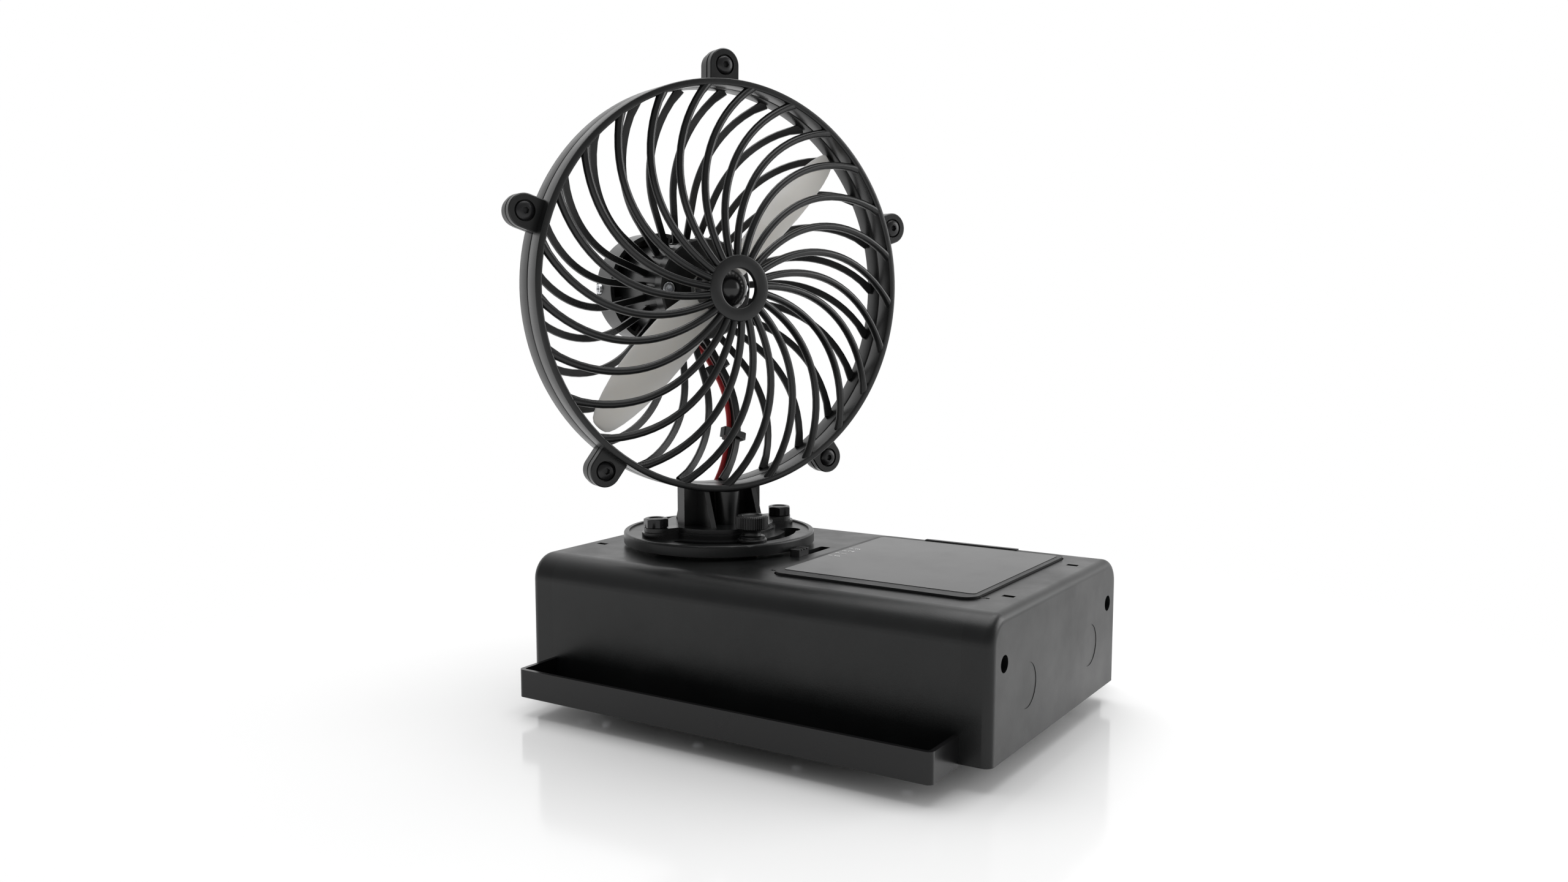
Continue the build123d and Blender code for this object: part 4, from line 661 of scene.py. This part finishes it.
def plate(x, y, z, half, x_low, x_high):
    """Square contact plate with trimmed corners, its faces across X."""
    trim = 1.2
    outline = [
        (-half, -half + trim), (-half + trim, -half), (half - trim, -half), (half, -half + trim),
        (half, half - trim), (half - trim, half), (-half + trim, half), (-half, half - trim),
    ]
    return rings([[(x + face, y + a, z + b) for a, b in outline] for face in (x_low, x_high)])


def cone_spring(base_x, y, z, way):
    """Conical coil spring from its wide end at the plate to its narrow end at the cell."""
    turns, steps, wire, sides = 4, 24, 0.3, 8
    loops = []
    for i in range(turns * steps + 1):
        t = i / (turns * steps)
        radius = 3.6 - 1.7 * t
        angle = 2 * pi * turns * t
        centre = Vector((base_x + way * (0.8 + 2.6 * t), y + radius * cos(angle), z + radius * sin(angle)))
        out = Vector((0, cos(angle), sin(angle)))
        loops.append([
            centre + out * wire * cos(2 * pi * j / sides) + Vector((wire * sin(2 * pi * j / sides), 0, 0))
            for j in range(sides)
        ])
    return rings(loops)


contact_parts = []
for i in range(CELL_COUNT):
    way = 1 if i % 2 else -1
    y = cell_y + (i - (CELL_COUNT - 1) / 2) * CELL_PITCH
    spring_end, button_end = cell_x - way * CONTACT_REACH, cell_x + way * CONTACT_REACH
    inward = way * PLATE_THICKNESS
    contact_parts.append(plate(spring_end, y, cell_z, PLATE_HALF, min(0, inward), max(0, inward)))
    contact_parts.append(cone_spring(spring_end, y, cell_z, way))
    contact_parts.append(plate(button_end, y, cell_z, PLATE_HALF, min(0, -inward), max(0, -inward)))
    boss = turned([(0.05, 0.4), (3.0, 0.4), (3.0, 2.2), (2.6, 2.7), (0.05, 2.7)], 32, closed=False)
    turn = Matrix.Rotation(radians(-90 * way), 4, "Y")
    contact_parts.append(placed(boss, Matrix.Translation((button_end, y, cell_z)) @ turn))
make_piece(
    "battery_contacts_mesh", placed(join(*contact_parts), cart_frame),
    "cart", "contact_steel", ("battery_contacts",),
)


# ================================================================ printed marks
def mark(outline, z, thickness=0.06):
    """A thin printed shape on the label, from a closed outline in mm."""
    loops = [[(x, y, z) for x, y in outline], [(x, y, z + thickness) for x, y in outline]]
    return rings(loops)


label_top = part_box("label_sheet")[1][2] / MM
switch_places = (-2.5, 2.5, 7.5, 12.5)
TICK_START, TICK_END, TICK_HALF_WIDTH = 3.6, 5.2, 0.2
DIGIT_X, DIGIT_SIZE, DIGIT_RAISE = 7.4, 3.0, 0.03
ticks = []
for y in switch_places:
    near, far = y - TICK_HALF_WIDTH, y + TICK_HALF_WIDTH
    ticks.append(mark([(TICK_START, near), (TICK_END, near), (TICK_END, far), (TICK_START, far)], label_top))
make_piece("switch_ticks", placed(join(*ticks), cart_frame), "door", "label_black", material=print_white)

for number, y in zip("0123", switch_places):
    curve = bpy.data.curves.new("switch_number_" + number, "FONT")
    curve.body = number
    curve.size = DIGIT_SIZE * MM
    curve.align_x = "CENTER"
    curve.align_y = "CENTER"
    curve.extrude = DIGIT_RAISE * MM
    digit = bpy.data.objects.new("switch_number_" + number, curve)
    bpy.context.scene.collection.objects.link(digit)
    place = Matrix.Translation((DIGIT_X * MM, y * MM, (label_top + DIGIT_RAISE) * MM))
    digit.matrix_world = place @ Matrix.Rotation(radians(90), 4, "Z")
    digit.data.materials.append(print_white)
    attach(digit, "door")


# ================================================================ softened edges on the CAD pieces that stay
edge_widths = {
    "body_shell": 0.35, "front_cap": 0.35, "rear_cap": 0.35, "right_tray": 0.35, "left_tray": 0.35,
    "battery_door": 0.3, "door_latch": 0.2, "switch_knob": 0.25, "turntable_disc": 0.3, "fan_post": 0.45,
    "motor_mount": 0.3, "motor_cover": 0.3, "chassis_plate": 0.2, "battery_holder": 0.2, "cable_ties": 0.2,
}
for node_name, width in edge_widths.items():
    bevel = nodes[node_name].modifiers.new("soft_edges", "BEVEL")
    bevel.width = width * MM
    bevel.segments = 2
    bevel.limit_method = "ANGLE"
    bevel.angle_limit = radians(40)
    bevel.harden_normals = False

# ================================================================ studio
FLOOR_REACH = 4.0
GLOW_START, GLOW_FULL = 0.06, 0.32
TOWARD_BACKDROP = (-0.536, 0.844, 0)  # the way the camera looks, level with the floor
WORLD_DIM = 0.31

floor_mesh = bpy.data.meshes.new("floor")
floor_corners = [
    (x * FLOOR_REACH, y * FLOOR_REACH, floor_z) for x, y in ((-1, -1), (1, -1), (1, 1), (-1, 1))
]
floor_mesh.from_pydata(floor_corners, [], [(0, 1, 2, 3)])
floor = bpy.data.objects.new("studio_floor", floor_mesh)
bpy.context.scene.collection.objects.link(floor)
floor_material, floor_tree, floor_shader = new_material("studio_floor")
floor_shader.inputs["Base Color"].default_value = (0.93, 0.93, 0.93, 1)
floor_shader.inputs["Roughness"].default_value = 0.12
floor_shader.inputs["Specular IOR Level"].default_value = 0.5
# away from the cart the floor glows white, as an evenly lit studio sweep does
floor_place = add_node(floor_tree, "ShaderNodeTexCoord")
floor_distance = floor_tree.nodes.new("ShaderNodeVectorMath")
floor_distance.operation = "LENGTH"
floor_fade = add_node(
    floor_tree, "ShaderNodeMapRange", From_Min=GLOW_START, From_Max=GLOW_FULL, To_Min=0.0, To_Max=1.0
)
floor_fade.interpolation_type = "SMOOTHSTEP"
floor_glow = floor_tree.nodes.new("ShaderNodeEmission")
floor_glow.inputs["Color"].default_value = (1, 1, 1, 1)
floor_glow.inputs["Strength"].default_value = 1.0
floor_mix = floor_tree.nodes.new("ShaderNodeMixShader")
floor_output = next(node for node in floor_tree.nodes if node.type == "OUTPUT_MATERIAL")
floor_tree.links.new(floor_place.outputs["Object"], floor_distance.inputs[0])
floor_tree.links.new(floor_distance.outputs["Value"], floor_fade.inputs["Value"])
floor_tree.links.new(floor_fade.outputs["Result"], floor_mix.inputs["Fac"])
floor_tree.links.new(floor_shader.outputs[0], floor_mix.inputs[1])
floor_tree.links.new(floor_glow.outputs[0], floor_mix.inputs[2])
floor_tree.links.new(floor_mix.outputs[0], floor_output.inputs["Surface"])
floor_mesh.materials.append(floor_material)

world = bpy.data.worlds.new("studio")
world.use_nodes = True
bpy.context.scene.world = world
background = world.node_tree.nodes["Background"]
heading = world.node_tree.nodes.new("ShaderNodeTexCoord")
behind = world.node_tree.nodes.new("ShaderNodeVectorMath")
behind.operation = "DOT_PRODUCT"
behind.inputs[1].default_value = TOWARD_BACKDROP
glow = add_node(
    world.node_tree, "ShaderNodeMapRange", From_Min=-0.1, From_Max=0.45, To_Min=WORLD_DIM, To_Max=1.0
)
world.node_tree.links.new(heading.outputs["Generated"], behind.inputs[0])
world.node_tree.links.new(behind.outputs["Value"], glow.inputs["Value"])
world.node_tree.links.new(glow.outputs["Result"], background.inputs["Strength"])
background.inputs["Color"].default_value = (1.0, 1.0, 1.0, 1)


def area_light(name, place, aim, size, power):
    """A soft rectangular lamp at a place, aimed at a point."""
    data = bpy.data.lights.new(name, "AREA")
    data.shape = "RECTANGLE"
    data.size, data.size_y = size
    data.energy = power
    lamp = bpy.data.objects.new(name, data)
    bpy.context.scene.collection.objects.link(lamp)
    lamp.location = place
    lamp.rotation_euler = (Vector(aim) - Vector(place)).to_track_quat("-Z", "Y").to_euler()


area_light("top_softbox", (-0.1, 0.2, 1.2), (0, 0, 0.05), (1.2, 1.2), 10.5)
area_light("right_softbox", (0.9, 0.75, 0.45), (0, 0, 0.08), (0.8, 0.7), 6.0)

# ================================================================ camera
CAMERA_PLACE = Vector((0.23883, -0.40288, 0.13811))
CAMERA_AZIMUTH = 32.39
CAMERA_PITCH = 6.26
CAMERA_LENS = 30.24

camera_data = bpy.data.cameras.new("camera")
camera_data.lens = CAMERA_LENS
camera_data.sensor_width = 36
camera_data.clip_start = 0.01
camera_data.clip_end = 20
camera = bpy.data.objects.new("camera", camera_data)
bpy.context.scene.collection.objects.link(camera)
camera.location = CAMERA_PLACE
camera.rotation_euler = (radians(90 - CAMERA_PITCH), 0, radians(CAMERA_AZIMUTH))
bpy.context.scene.camera = camera
bpy.context.scene.view_settings.view_transform = "Standard"
